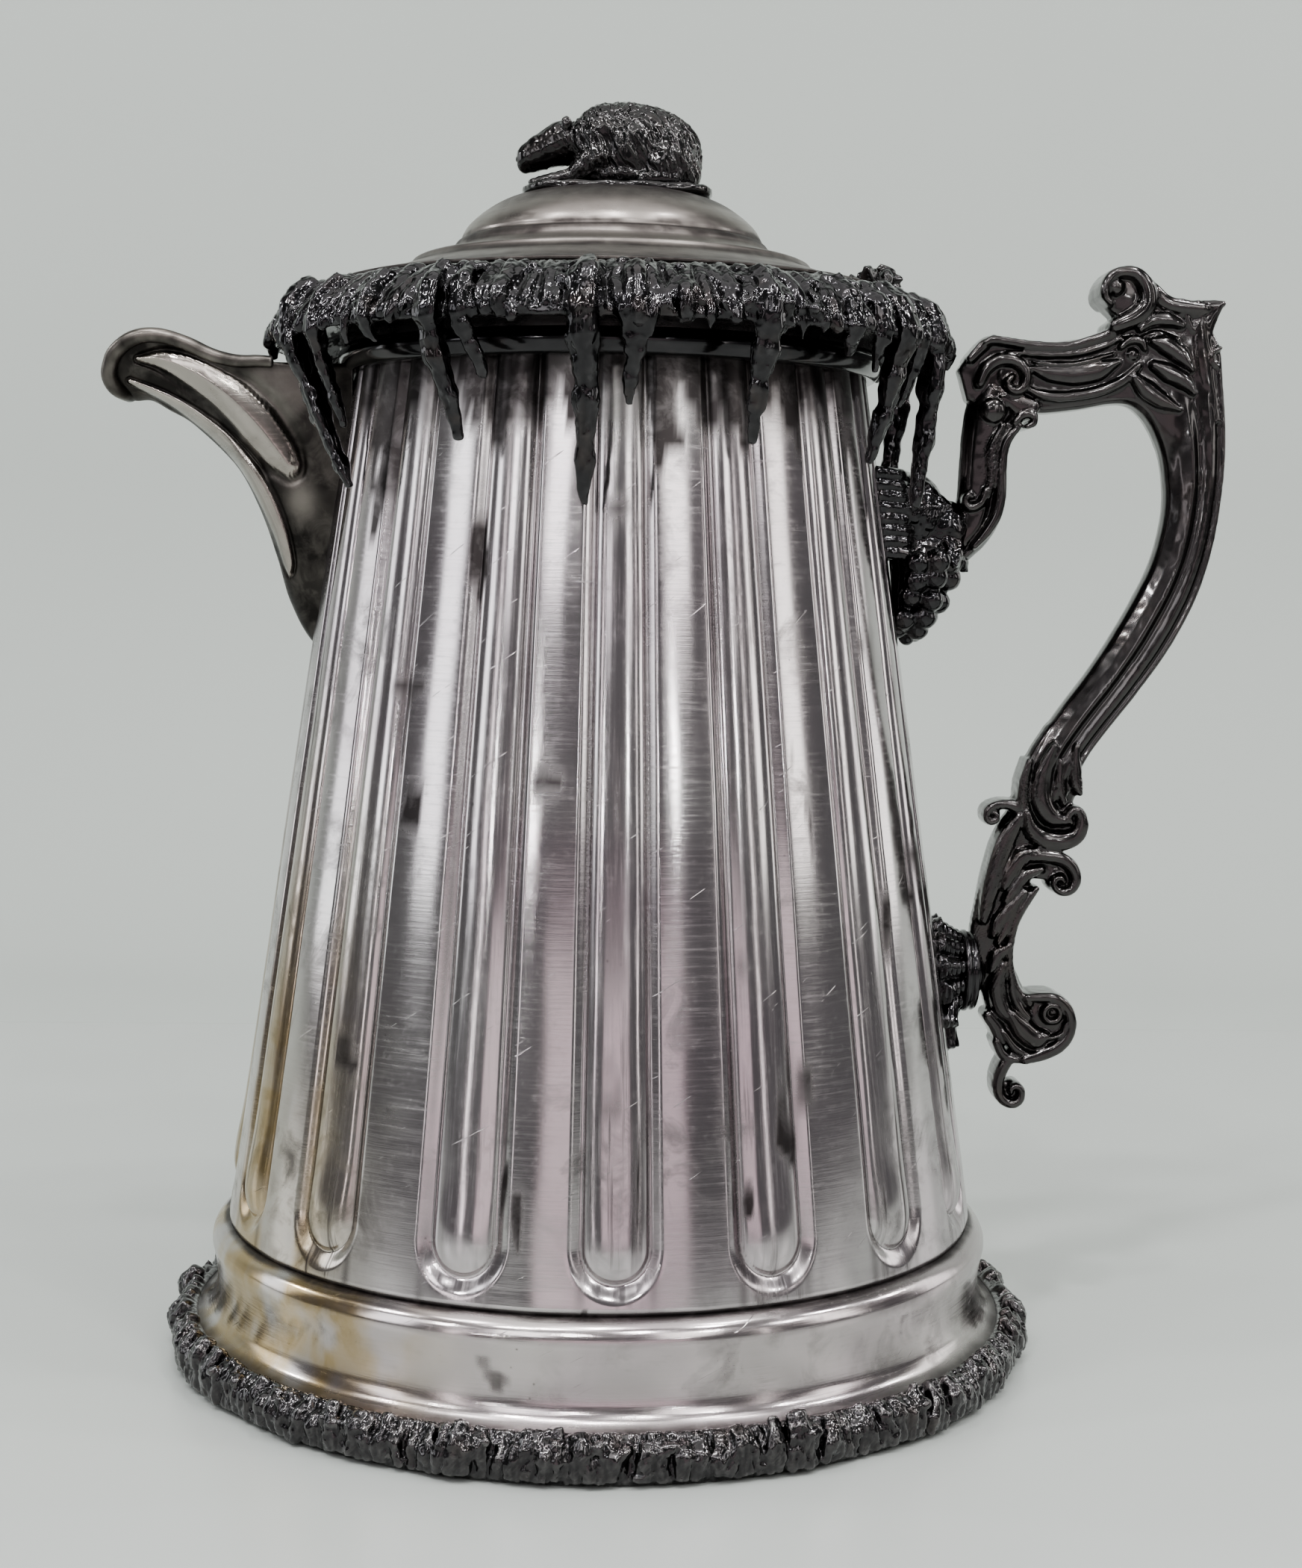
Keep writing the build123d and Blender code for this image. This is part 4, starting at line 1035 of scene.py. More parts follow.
parts = [
    leaf_sheet((69.6, 0, 270.6), (69.0, 0.6, 278.7), 5.2, (-0.5, -1, 0.1), 0.3, 1.3, 3),
    leaf_sheet((67.6, -2.0, 271.6), (64.0, -6.4, 277.0), 3.6, (-0.3, -0.7, 0.6), 0.3, 1.2, 3),
    leaf_sheet((67.6, 2.0, 271.6), (64.0, 6.4, 277.0), 3.6, (-0.3, 0.7, 0.6), 0.3, 1.2, 3),
    leaf_sheet((66.0, 0, 272.0), (60.6, 0.0, 275.4), 3.2, (0.3, 0, 1), 0.3, 1.2, 3),
    blob((69.2, 0, 272.4), (3.0, 5.0, 2.4), level=3), blob((70.2, 0, 274.6), (2.0, 3.4, 2.8), level=3),
    blob((65.2, 0, 272.8), (3.4, 3.4, 1.6), level=3), blob((61.8, 0, 273.9), (1.5, 1.8, 1.2), level=2),
]
V, F = merge(parts)
tp = make("thumbpiece_leaves", V, F, M_BEAR, "lid", ["thumbpiece"])
remesh(tp, 0.3, 2)

# ------------------------------------------------------------------ handle
# stations: outer edge, inner edge (x, z) and half thickness across
ST = [
    ((89.0, 252.2), (91.4, 244.0), 4.6), ((92.2, 257.4), (94.0, 243.0), 5.4), ((96.4, 260.9), (98.0, 242.4), 6.2), ((103.0, 260.3), (104.6, 241.6), 6.6), ((111.1, 259.5), (111.4, 241.2), 6.8),
    ((121.3, 260.8), (121.0, 242.4), 6.8), ((130.0, 263.6), (128.6, 243.8), 7.0), ((139.0, 267.6), (133.4, 243.4), 7.4), ((148.0, 268.0), (137.0, 240.6), 7.6),
    ((155.6, 261.0), (139.8, 236.2), 7.4), ((157.4, 249.0), (141.9, 231.0), 7.2), ((158.4, 236.8), (143.0, 225.0), 7.0), ((158.3, 226.0), (143.4, 218.5), 7.0),
    ((156.8, 212.0), (142.4, 211.0), 6.9), ((154.2, 200.6), (140.2, 203.0), 6.8), ((150.4, 190.4), (136.4, 194.8), 6.7), ((144.6, 179.8), (130.8, 184.6), 6.6),
    ((137.2, 169.2), (124.6, 174.8), 6.4), ((130.6, 160.6), (118.6, 166.6), 6.3), ((125.6, 153.6), (113.6, 159.0), 6.2), ((122.0, 146.6), (109.6, 151.4), 6.2),
    ((119.6, 141.0), (106.6, 143.6), 6.0),
]
O = resample(crom([s[0] for s in ST], 6), 150)
I_ = crom([s[1] for s in ST], 6)
Ocr = crom([s[0] for s in ST], 6)
Th = crom([(s[2], 0) for s in ST], 6)[:, 0]
NSh = len(Ocr)
half_a = np.concatenate([[-1.0, -0.985, -0.95, -0.9], np.linspace(-0.82, 0.82, 26), [0.9, 0.95, 0.985, 1.0]])


PA = [-1, -0.975, -0.88, -0.55, -0.27, -0.19, -0.12, 0.03, 0.10, 0.24, 0.42, 0.58, 0.66, 0.73, 0.84, 0.93, 0.98, 1.0]
PY = [0, 0.34, 0.55, 0.80, 0.97, 1.02, 0.96, 0.78, 0.77, 0.87, 0.94, 0.86, 0.72, 0.73, 0.83, 0.75, 0.45, 0]
PB = [0, 0.46, 0.66, 0.70, 0.70, 0.70, 0.70, 0.70, 0.70, 0.70, 0.70, 0.70, 0.70, 0.70, 0.68, 0.60, 0.38, 0]
half_a = np.unique(np.concatenate([PA, np.linspace(-0.96, 0.96, 34)]))


def yprof(a, f):
    """Side moulding across the handle: a -1 inner edge, +1 outer edge; f 1 for the ridged curve, 0 for the bar."""
    return f * np.interp(a, PA, PY) + (1 - f) * np.interp(a, PA, PB)


rows = []
for i in range(NSh):
    o, q = Ocr[i], I_[i]
    c, h = (o + q) / 2, (o - q) / 2
    t = i / (NSh - 1)
    f = float(sm(0.40, 0.52, t))
    yp = yprof(half_a, f) * Th[i]
    near = np.stack([c[0] + h[0] * half_a, -yp, c[1] + h[1] * half_a], -1)
    far = near[::-1][1:-1] * [1, -1, 1]
    rows.append(np.vstack([near, far]))
A = np.array(rows)
k = A.shape[1]
V = A.reshape(-1, 3)
F = [tuple(f)[::-1] for f in grid_faces(NSh, k, False, True)]
a, b = len(V), len(V) + 1
V = np.vstack([V, A[0].mean(0), A[-1].mean(0)])
for j in range(k):
    j2 = (j + 1) % k
    F.append((j, a, j2)[::-1])
    F.append(((NSh - 1) * k + j, (NSh - 1) * k + j2, b)[::-1])
hparts = [(V, F)]

# the cast ornament: overlapping strokes (x, z), half widths, height of the edge, extra height at the middle
STR = []


def stroke(pts, w, base, rise, n=10):
    P = crom(pts, n) if len(pts) > 1 else np.asarray(pts, float)
    ww = np.interp(np.linspace(0, 1, len(P)), np.linspace(0, 1, len(w)), w)
    STR.append((P, ww, base, rise))


# fills
stroke([(120.0, 157.0), (116.6, 151.0), (115.3, 145.6), (113.6, 140.6)], [7.0, 7.2, 8.0, 7.7], 2.4, 1.7)
stroke([(112.0, 124.6), (115.8, 123.6)], [3.6, 3.0], 3.0, 0.9)
stroke([(113.0, 138.4), (119.4, 136.6)], [3.6, 3.6], 2.6, 0.6)
stroke([(112.0, 138.0), (107.6, 132.0), (107.0, 127.4), (104.8, 119.4), (102.4, 112.0), (101.4, 105.0), (102.4, 98.0), (104.6, 92.0), (106.6, 87.0), (109.0, 82.4)],
       [6.0, 6.0, 6.0, 6.6, 5.7, 5.7, 5.1, 5.4, 5.8, 6.0], 2.2, 1.4)
stroke([(117.4, 84.4)], [6.7], 3.2, 1.2)
stroke([(109.4, 81.6), (112.0, 79.0), (115.6, 78.6)], [5.4, 5.2, 4.4], 2.6, 2.2)
stroke([(131.2, 271.6)], [6.4], 4.6, 1.2)
stroke([(132.6, 266.6), (138.0, 267.0), (144.0, 266.4), (150.0, 264.6)], [4.2, 4.6, 4.6, 4.4], 3.8, 1.2)
stroke([(146.0, 262.0), (150.6, 254.0), (152.6, 246.0)], [7.5, 6.4, 5.2], 4.0, 0.7)
# lower end of the curve: lobes and the two curls
stroke([(115.8, 156.0), (113.4, 149.0), (113.0, 142.6), (115.6, 138.0), (119.4, 136.6)], [1.2, 2.6, 3.1, 2.6, 1.2], 4.6, 2.0)
stroke([(121.6, 156.0), (121.6, 150.0), (122.0, 146.4), (123.0, 143.8)], [1.0, 2.0, 2.0, 0.9], 4.2, 2.2)
stroke([(117.6, 152.0), (117.8, 146.0), (119.0, 141.2)], [0.9, 1.8, 0.9], 4.4, 1.6)
stroke([(109.6, 152.0), (108.4, 146.0), (108.6, 140.0), (110.8, 136.0)], [1.0, 1.6, 1.7, 1.2], 4.4, 1.4)
stroke([(109.4, 138.4), (110.6, 134.6), (114.0, 131.8), (118.8, 131.2), (122.4, 132.6), (123.7, 135.6), (123.0, 138.8), (121.2, 139.3), (120.0, 137.6), (120.9, 136.2)],
       [1.2, 2.1, 2.6, 2.6, 2.3, 2.0, 1.6, 1.3, 1.1, 0.7], 4.8, 2.0)
stroke([(110.6, 127.4), (114.4, 127.4), (118.4, 126.8), (121.4, 124.8), (122.7, 121.6), (121.6, 118.8), (119.2, 118.0), (117.2, 119.2), (117.0, 121.2), (118.6, 121.8), (119.5, 120.6)],
       [1.6, 1.8, 1.9, 1.8, 1.6, 1.4, 1.3, 1.1, 1.0, 0.9, 0.6], 4.6, 2.0)
stroke([(108.0, 139.4), (105.0, 140.6), (101.9, 140.5), (99.6, 139.4), (99.0, 137.4), (100.0, 136.2), (101.5, 136.6), (101.7, 138.0), (100.7, 138.5)],
       [1.9, 1.6, 1.4, 1.3, 1.2, 1.2, 1.0, 0.8, 0.5], 3.6, 1.8)
stroke([(100.6, 138.0)], [2.4], 3.2, 0.4)
stroke([(118.4, 121.0)], [3.6], 3.6, 0.5)
stroke([(121.0, 136.4)], [3.0], 3.4, 0.4)
# stem: acanthus lobes
stroke([(107.6, 137.4), (104.2, 131.4), (101.9, 124.4), (100.2, 117.4), (98.9, 110.6)], [1.6, 2.7, 2.5, 2.2, 1.5], 4.4, 1.5)
stroke([(112.4, 128.6), (108.4, 126.9), (105.4, 122.8), (103.9, 119.0)], [1.2, 2.3, 2.1, 0.9], 4.8, 1.6)
stroke([(113.6, 123.9), (109.4, 122.2), (106.7, 118.8), (104.3, 115.6)], [1.0, 1.8, 1.7, 0.8], 4.7, 1.5)
stroke([(109.4, 118.0), (105.6, 113.6), (102.8, 110.0), (101.3, 106.4)], [0.9, 1.9, 1.8, 0.8], 4.7, 1.5)
stroke([(107.2, 114.4), (105.0, 109.0), (102.8, 104.6)], [0.8, 1.5, 0.8], 4.6, 1.4)
stroke([(105.8, 103.8), (102.9, 101.4), (101.0, 97.4)], [0.9, 1.9, 0.9], 4.8, 1.6)
stroke([(112.4, 118.8), (109.6, 114.8), (107.2, 110.0), (106.1, 105.0), (105.9, 100.0), (106.6, 95.6), (108.4, 91.6), (111.4, 88.6)], [1.0, 1.3, 1.3, 1.2, 1.2, 1.3, 1.3, 1.2], 4.3, 1.7)
stroke([(104.0, 98.6), (103.0, 93.0), (104.2, 87.6), (107.0, 84.0)], [1.3, 2.6, 2.5, 1.2], 4.4, 1.9)
stroke([(106.2, 97.0), (107.0, 91.4), (108.9, 87.6), (111.2, 85.0)], [0.8, 1.2, 1.3, 0.9], 4.5, 1.6)
# bottom scroll
stroke([(110.6, 90.2), (114.0, 90.3), (118.0, 90.0), (121.2, 87.6), (122.5, 84.0), (121.8, 80.2), (119.2, 77.2), (115.2, 75.2), (110.6, 73.8)],
       [1.3, 1.5, 1.6, 1.6, 1.6, 1.7, 1.9, 1.9, 1.4], 4.8, 1.9)
stroke([(121.0, 83.4), (120.0, 80.8), (117.0, 79.6), (114.0, 80.4)], [0.4, 0.5, 0.5, 0.4], 5.6, 0.9)
th_ = np.linspace(0, 1.9 * PI, 14)
stroke([(117.3 + 2.15 * math.cos(a), 86.1 + 2.15 * math.sin(a)) for a in th_], [0.75], 5.4, 1.3, 3)
stroke([(117.5, 86.3)], [0.8], 4.6, 0.8)
stroke([(106.8, 85.6), (110.0, 81.6), (113.4, 79.4), (115.6, 80.0)], [1.6, 3.0, 2.9, 1.4], 4.6, 2.2)
stroke([(105.0, 80.8), (108.2, 76.6), (113.0, 74.4)], [1.0, 1.4, 0.9], 4.2, 1.7)
stroke([(103.2, 78.2), (105.4, 74.6), (110.6, 73.4)], [1.4, 1.6, 1.1], 3.8, 1.8)
stroke([(101.0, 85.0), (103.6, 81.4), (104.0, 78.0)], [1.8, 2.2, 1.6], 3.6, 1.6)
# tail curl
stroke([(106.6, 74.0), (104.9, 71.0), (103.9, 67.6), (104.2, 64.6), (105.8, 62.5), (108.0, 61.8), (109.8, 63.0), (110.1, 65.2), (108.9, 66.6), (107.3, 66.0), (107.3, 64.8)],
       [1.8, 1.8, 1.7, 1.6, 1.5, 1.4, 1.3, 1.2, 1.1, 0.9, 0.6], 3.6, 2.0)
stroke([(107.3, 65.0)], [3.0], 2.6, 0.4)
# top bar: rails and the long lens panel
stroke([(95.2, 258.6), (98.0, 259.4), (107.0, 258.2), (115.8, 258.1), (122.0, 259.6), (128.4, 262.0), (132.0, 264.6)], [0.9, 1.3, 1.4, 1.4, 1.4, 1.5, 1.0], 5.2, 1.5)
stroke([(101.0, 256.4), (109.5, 255.9), (118.2, 256.3), (125.1, 258.2), (130.0, 260.4)], [0.5, 0.9, 0.9, 0.9, 0.6], 5.3, 1.1)
stroke([(106.6, 252.4), (112.0, 251.3), (118.4, 251.2), (124.0, 252.2), (129.6, 254.4)], [0.6, 2.3, 3.0, 2.8, 0.6], 5.4, 1.7)
stroke([(107.0, 254.0), (113.0, 253.5), (119.0, 253.9), (128.4, 256.4)], [0.3, 0.45, 0.5, 0.35], 6.3, 0.9)
stroke([(105.6, 247.6), (110.0, 245.7), (116.0, 245.3), (124.5, 246.8), (130.7, 249.6), (134.8, 253.6)], [0.7, 1.3, 1.4, 1.4, 1.4, 0.8], 5.2, 1.6)
stroke([(129.8, 258.0), (132.2, 259.9), (135.0, 259.6), (136.0, 257.6)], [0.8, 1.2, 1.2, 0.7], 5.8, 1.5)
stroke([(133.2, 256.4)], [1.7], 5.0, 0.9)
# corner acanthus
stroke([(134.6, 262.6), (137.6, 264.8), (141.4, 265.2), (145.4, 263.8)], [1.0, 1.9, 2.0, 0.9], 5.0, 2.6)
stroke([(136.0, 261.0), (139.6, 261.6), (144.6, 260.2)], [0.6, 1.1, 0.6], 5.0, 1.0)
stroke([(138.0, 259.6), (141.4, 258.8), (145.0, 256.4), (148.2, 252.6)], [1.2, 2.6, 2.5, 0.8], 5.0, 3.0)
stroke([(138.4, 253.6), (142.4, 251.8), (146.0, 250.0), (148.8, 246.8)], [1.3, 2.6, 2.4, 0.8], 5.0, 3.0)
stroke([(133.6, 250.4), (136.8, 247.4), (140.4, 245.0), (145.4, 242.6)], [1.4, 2.7, 2.4, 0.8], 4.8, 2.8)
stroke([(150.4, 264.0), (151.6, 256.0), (153.4, 247.0), (155.2, 240.0)], [1.8, 2.5, 2.1, 1.0], 5.0, 1.0)
stroke([(155.7, 258.4), (153.9, 257.4), (153.7, 255.2), (155.0, 253.8)], [0.7, 0.8, 0.8, 0.6], 5.2, 1.0)
# thumb scroll
stroke([(128.2, 263.4), (133.4, 265.8), (136.2, 269.0), (136.0, 273.0), (133.6, 276.2), (130.4, 277.0), (127.2, 276.0), (125.4, 273.4), (125.2, 270.8), (126.6, 269.0)],
       [2.0, 2.5, 2.6, 2.4, 2.0, 1.7, 1.6, 1.5, 1.3, 1.0], 5.8, 2.4)
stroke([(136.6, 275.2), (138.6, 272.4), (141.6, 269.6), (146.0, 268.6), (151.0, 268.2)], [0.9, 1.9, 2.2, 2.2, 1.8], 4.6, 1.8)
stroke([(128.0, 273.0)], [2.3], 5.2, 3.0)
# leaf tip at the outer corner
stroke([(146.0, 267.4), (150.4, 268.2), (154.0, 269.0), (156.3, 269.7)], [3.4, 2.6, 1.9, 0.9], 3.6, 2.0)
stroke([(151.4, 262.0), (153.2, 266.0), (155.9, 269.6)], [2.6, 2.0, 0.8], 3.8, 1.8)
stroke([(145.6, 270.3), (146.4, 266.6), (148.4, 262.6)], [0.6, 0.9, 0.6], 5.0, 1.0)
stroke([(149.6, 270.2), (150.2, 267.2), (151.0, 264.2)], [0.5, 0.8, 0.5], 5.0, 0.9)
# front column with its curls
COL = [((109.4, 243.6), (94.0, 249.0), 6.0), ((106.4, 239.4), (91.6, 243.0), 6.0), ((103.4, 235.4), (90.6, 236.6), 5.8), ((102.2, 230.0), (90.2, 230.0), 5.6), ((102.3, 224.4), (90.0, 224.0), 5.5),
       ((102.1, 218.4), (89.6, 218.6), 5.4), ((100.6, 212.6), (88.6, 213.6), 5.4), ((97.4, 207.6), (86.4, 210.2), 5.2), ((93.2, 203.6), (84.4, 207.6), 4.8)]
Oc, Ic = crom([s[0] for s in COL], 6), crom([s[1] for s in COL], 6)
Tc = crom([(s[2], 0) for s in COL], 6)[:, 0]
rows = []
for i in range(len(Oc)):
    o, q = Oc[i], Ic[i]
    c, h = (o + q) / 2, (o - q) / 2
    yp = np.clip(1 - np.abs(half_a) ** 3.0, 0, 1) ** 0.5 * Tc[i] * (0.86 + 0.16 * np.exp(-((half_a - 0.68) / 0.16) ** 2) - 0.22 * np.exp(-((half_a - 0.34) / 0.12) ** 2))
    near = np.stack([c[0] + h[0] * half_a, -yp, c[1] + h[1] * half_a], -1)
    rows.append(np.vstack([near, near[::-1][1:-1] * [1, -1, 1]]))
A = np.array(rows)
k = A.shape[1]
V = A.reshape(-1, 3)
F = [tuple(f)[::-1] for f in grid_faces(len(Oc), k, False, True)]
a, b = len(V), len(V) + 1
V = np.vstack([V, A[0].mean(0), A[-1].mean(0)])
for j in range(k):
    j2 = (j + 1) % k
    F.append((j, a, j2)[::-1])
    F.append(((len(Oc) - 1) * k + j, (len(Oc) - 1) * k + j2, b)[::-1])
hparts.append((V, F))
# column: outer ridge, stippled strip, curls
stroke([(104.6, 238.0), (101.2, 233.4), (100.3, 227.4), (100.4, 221.0), (99.4, 215.4), (96.9, 210.9), (93.8, 207.2)], [1.0, 1.5, 1.6, 1.6, 1.6, 1.5, 1.1], 4.6, 1.6)
stroke([(100.4, 238.0), (97.9, 231.8), (98.0, 225.6), (97.0, 219.6)], [1.0, 1.8, 1.5, 0.8], 4.6, 1.2)
stroke([(94.0, 248.4), (95.8, 252.2), (99.4, 254.4), (103.6, 253.8), (105.8, 250.8), (105.2, 247.4), (102.6, 246.6), (101.0, 248.4), (102.2, 250.2)],
       [1.3, 1.6, 1.7, 1.6, 1.5, 1.4, 1.2, 1.0, 0.7], 5.4, 2.0)
stroke([(102.4, 250.4)], [4.0], 4.6, 0.6)
stroke([(97.8, 241.6)], [3.5], 4.6, 2.4)
stroke([(100.2, 245.0), (104.4, 243.4), (108.0, 242.8)], [1.2, 2.8, 2.0], 5.2, 0.7)
stroke([(103.2, 238.6), (105.4, 240.6), (108.0, 240.6), (108.2, 238.6), (106.4, 237.6)], [0.9, 1.3, 1.3, 1.1, 0.8], 4.8, 1.6)
stroke([(96.4, 221.4), (95.2, 218.2), (92.8, 216.9), (91.1, 218.2), (91.6, 220.2), (93.0, 219.6)], [1.0, 1.2, 1.2, 1.0, 0.9, 0.5], 4.6, 1.6)
stroke([(92.6, 218.6)], [2.6], 4.0, 0.4)
stroke([(91.6, 254.6), (94.8, 258.0), (97.4, 259.8)], [1.3, 1.6, 1.2], 4.8, 1.2)

gh = 0.3
gx, gz = np.arange(84.0, 160.0, gh), np.arange(58.0, 281.0, gh)
Hm = np.zeros((len(gx), len(gz)))
for P_, w_, b_, r_ in STR:
    wm = w_.max() + 0.3
    i0, i1 = np.searchsorted(gx, [P_[:, 0].min() - wm, P_[:, 0].max() + wm])
    j0, j1 = np.searchsorted(gz, [P_[:, 1].min() - wm, P_[:, 1].max() + wm])
    X_, Z_ = np.meshgrid(gx[i0:i1], gz[j0:j1], indexing="ij")
    if len(P_) > 1:
        Pd = resample(np.column_stack([P_, w_]), max(12, int(np.linalg.norm(np.diff(P_, axis=0), axis=1).sum() / 0.25)))
    else:
        Pd = np.column_stack([P_, w_])
    t2 = (((X_[..., None] - Pd[:, 0]) ** 2 + (Z_[..., None] - Pd[:, 1]) ** 2) / Pd[:, 2] ** 2).min(-1)
    h_ = np.where(t2 < 1, b_ * np.clip((1 - t2) / 0.22, 0.25, 1) ** 0.5 + r_ * np.sqrt(np.clip(1 - t2, 0, 1)), 0)
    Hm[i0:i1, j0:j1] = np.maximum(Hm[i0:i1, j0:j1], h_)
Mk = Hm > 0.5
cell = Mk[:-1, :-1] & Mk[1:, :-1] & Mk[:-1, 1:] & Mk[1:, 1:]
nx_, nz_ = Hm.shape
idx = np.arange(nx_ * nz_).reshape(nx_, nz_)
XX_, ZZ_ = np.meshgrid(gx, gz, indexing="ij")
nearV = np.stack([XX_, -Hm, ZZ_], -1).reshape(-1, 3)
farV = np.stack([XX_, Hm, ZZ_], -1).reshape(-1, 3)
ci, cj = np.nonzero(cell)
q_ = np.stack([idx[ci, cj], idx[ci + 1, cj], idx[ci + 1, cj + 1], idx[ci, cj + 1]], -1)
o_ = nx_ * nz_
Fr = [q_, q_[:, ::-1] + o_]
pad = np.pad(cell, 1)
for di, dj, a_, b_ in ((0, -1, (0, 0), (1, 0)), (1, 0, (1, 0), (1, 1)), (0, 1, (1, 1), (0, 1)), (-1, 0, (0, 1), (0, 0))):
    nb = pad[1 + di:pad.shape[0] - 1 + di, 1 + dj:pad.shape[1] - 1 + dj]
    ei, ej = np.nonzero(cell & ~nb)
    A_, B_ = idx[ei + a_[0], ej + a_[1]], idx[ei + b_[0], ej + b_[1]]
    Fr.append(np.stack([B_, A_, A_ + o_, B_ + o_], -1))
Fr = np.vstack(Fr)
used = np.unique(Fr)
remap = np.full(2 * o_, -1)
remap[used] = np.arange(len(used))
hparts.append((np.vstack([nearV, farV])[used], [tuple(f) for f in remap[Fr].tolist()]))
V, F = merge(hparts)
hd = make("handle_cast", V, F, M_HANDLE, "jug", ["handle"])
remesh(hd, 0.36, 2)
co, no = co_of(hd), no_of(hd)
rot1 = co[:, 0] * 0.94 + co[:, 2] * 0.34
rot2 = -co[:, 0] * 0.34 + co[:, 2] * 0.94
stip = np.sin(rot1 * 6.2 + 0.5 * np.sin(co[:, 2] * 0.8)) * np.sin(rot2 * 6.2)
mask = sm(152, 146, co[:, 2]) * sm(88, 96, co[:, 2]) * sm(0.3, 0.6, np.abs(no[:, 1])) * (1 - sm(110.5, 113.5, co[:, 0]) * sm(140, 134, co[:, 2])) \
    * (1 - np.exp(-((co[:, 0] - 115) / 3.6) ** 2) * sm(134, 138, co[:, 2]))
mask2 = sm(101, 99, co[:, 0]) * sm(94.5, 96.5, co[:, 0]) * sm(216, 221, co[:, 2]) * sm(241, 236, co[:, 2]) * sm(0.3, 0.6, np.abs(no[:, 1]))
set_co(hd, co + no * (0.13 * stip * np.clip(mask + mask2, 0, 1) + 0.06 * fbm(co, 3.0, 61, 2))[:, None])

# ------------------------------------------------------------------ upper bracket
rng = np.random.default_rng(5)
gp = []
for z, x0, half in [(203.5, 88.6, 9.6), (198.6, 87.6, 8.6), (193.6, 85.4, 7.4), (189.0, 82.8, 5.6), (185.2, 80.2, 3.2)]:
    n_ = max(1, int(round(half * 2 / 5.4)) + 1)
    for i in range(n_):
        y = 0.0 if n_ == 1 else lerp(-half, half, i / (n_ - 1))
        x = x0 - 0.055 * y * y
        r = rng.uniform(2.9, 3.5)
        gp.append(blob((x + rng.uniform(-0.4, 0.4), y + rng.uniform(-0.4, 0.4), z + rng.uniform(-0.8, 0.8)), r, level=3))
        if abs(y) > half * 0.5:
            gp.append(blob((x - 5.0, y * 1.02, z + rng.uniform(-1, 1)), r * 0.95, level=3))
gp.append(blob((77.6, 0, 183.6), 2.2, level=3))
gp.append(cap((80, 0, 204), (77, 0, 186.0), 7.6, 3.0))
V, F = merge(gp)
gr = make("bracket_grapes", V, F, M_DARK, "jug", ["upper_bracket_grapes"])
remesh(gr, 0.35, 1)
co, no = co_of(gr), no_of(gr)
set_co(gr, co + no * (0.12 * fbm(co, 1.2, 71, 3))[:, None])
# leaf over the grapes and the ridged plate against the wall
parts = []
for j, z in enumerate(np.linspace(224.6, 204.6, 8)):
    rr0 = float(r_out(z))
    P = crom([(rr0 - 1.6, -11.4, z + 0.6), (rr0 + 2.2, -10.6, z + 0.3), (rr0 + 5.6, -8.0, z), (rr0 + 8.0, 0, z - 0.4), (rr0 + 5.6, 8.0, z), (rr0 + 2.2, 10.6, z + 0.3), (rr0 - 1.6, 11.4, z + 0.6)], 6)
    parts.append(tube(P, 1.75, 12, up=(0, 0, 1)))
parts.append(blob((78.0, 0, 214.6), (9.0, 9.0, 11.4)))
parts.append(blob((86.0, 0, 211.6), (7.6, 7.4, 7.6)))
parts.append(blob((72.0, 0, 223.0), (6.0, 6.6, 4.0)))
for s in (-1, 1):
    parts.append(leaf_sheet((90.0, s * 2.0, 214.0), (77.0, s * 11.0, 199.6), 6.6, (0.25, s * 1.0, 0.25), 0.22, 1.6, 4, 0.35, vein=0.5))
    parts.append(leaf_sheet((88.0, s * 4.0, 217.0), (74.0, s * 10.6, 216.0), 5.4, (0.1, s * 1.0, 0.35), 0.22, 1.6, 3, 0.35, vein=0.5))
    parts.append(leaf_sheet((91.0, s * 1.0, 212.6), (88.0, s * 9.4, 201.4), 4.8, (0.8, s * 0.7, 0.3), 0.2, 1.6, 3, 0.35, vein=0.5))
parts.append(leaf_sheet((91.6, 0, 212.0), (92.0, 0.0, 200.4), 4.6, (1, 0, 0.2), 0.2, 1.8, 3, 0.3, vein=0.5))
V, F = merge(parts)
ub = make("bracket_vine_leaf", V, F, M_DARK, "jug", ["upper_bracket_leaf"])
remesh(ub, 0.38, 1)
co, no = co_of(ub), no_of(ub)
set_co(ub, co + no * (0.18 * fbm(co, 1.3, 81, 3))[:, None])

# ------------------------------------------------------------------ lower bracket: fluted shell
parts = [cap((84.6, 0, 95.0), (92.2, 0, 96.4), 11.0, 8.6, nseg=24)]
NB = 12
for j in range(NB):
    a = TAU * (j + 0.5) / NB - PI / 2
    up = math.sin(a)
    rb = 13.0 if up > -0.2 else 13.0 + 9.5 * (-up - 0.2) ** 1.2
    zb = 96.0 + rb * math.sin(a)
    yb = 13.4 * math.cos(a)
    xb = float(r_out(zb)) * math.cos(math.asin(min(0.9, abs(yb) / float(r_out(zb))))) + 0.6
    P = crom([(93.6, 8.2 * math.cos(a), 96.4 + 8.6 * math.sin(a)), (91.2, 9.6 * math.cos(a), 96.2 + 9.6 * math.sin(a)), ((xb + 90.4) / 2 - 0.3, lerp(9.4 * math.cos(a), yb, 0.55), lerp(96 + 9.4 * math.sin(a), zb, 0.55)), (xb, yb, zb)], 6)
    parts.append(tube(P, np.linspace(1.9, 3.3, len(P)), 12))
V, F = merge(parts)
lb = make("bracket_scallop_shell", V, F, M_DARK, "jug", ["lower_bracket_shell"])
remesh(lb, 0.38, 1)
co, no = co_of(lb), no_of(lb)
rd = np.hypot(co[:, 1], co[:, 2] - 96.0)
bead = np.sin(co[:, 0] * 4.6) * 0.12
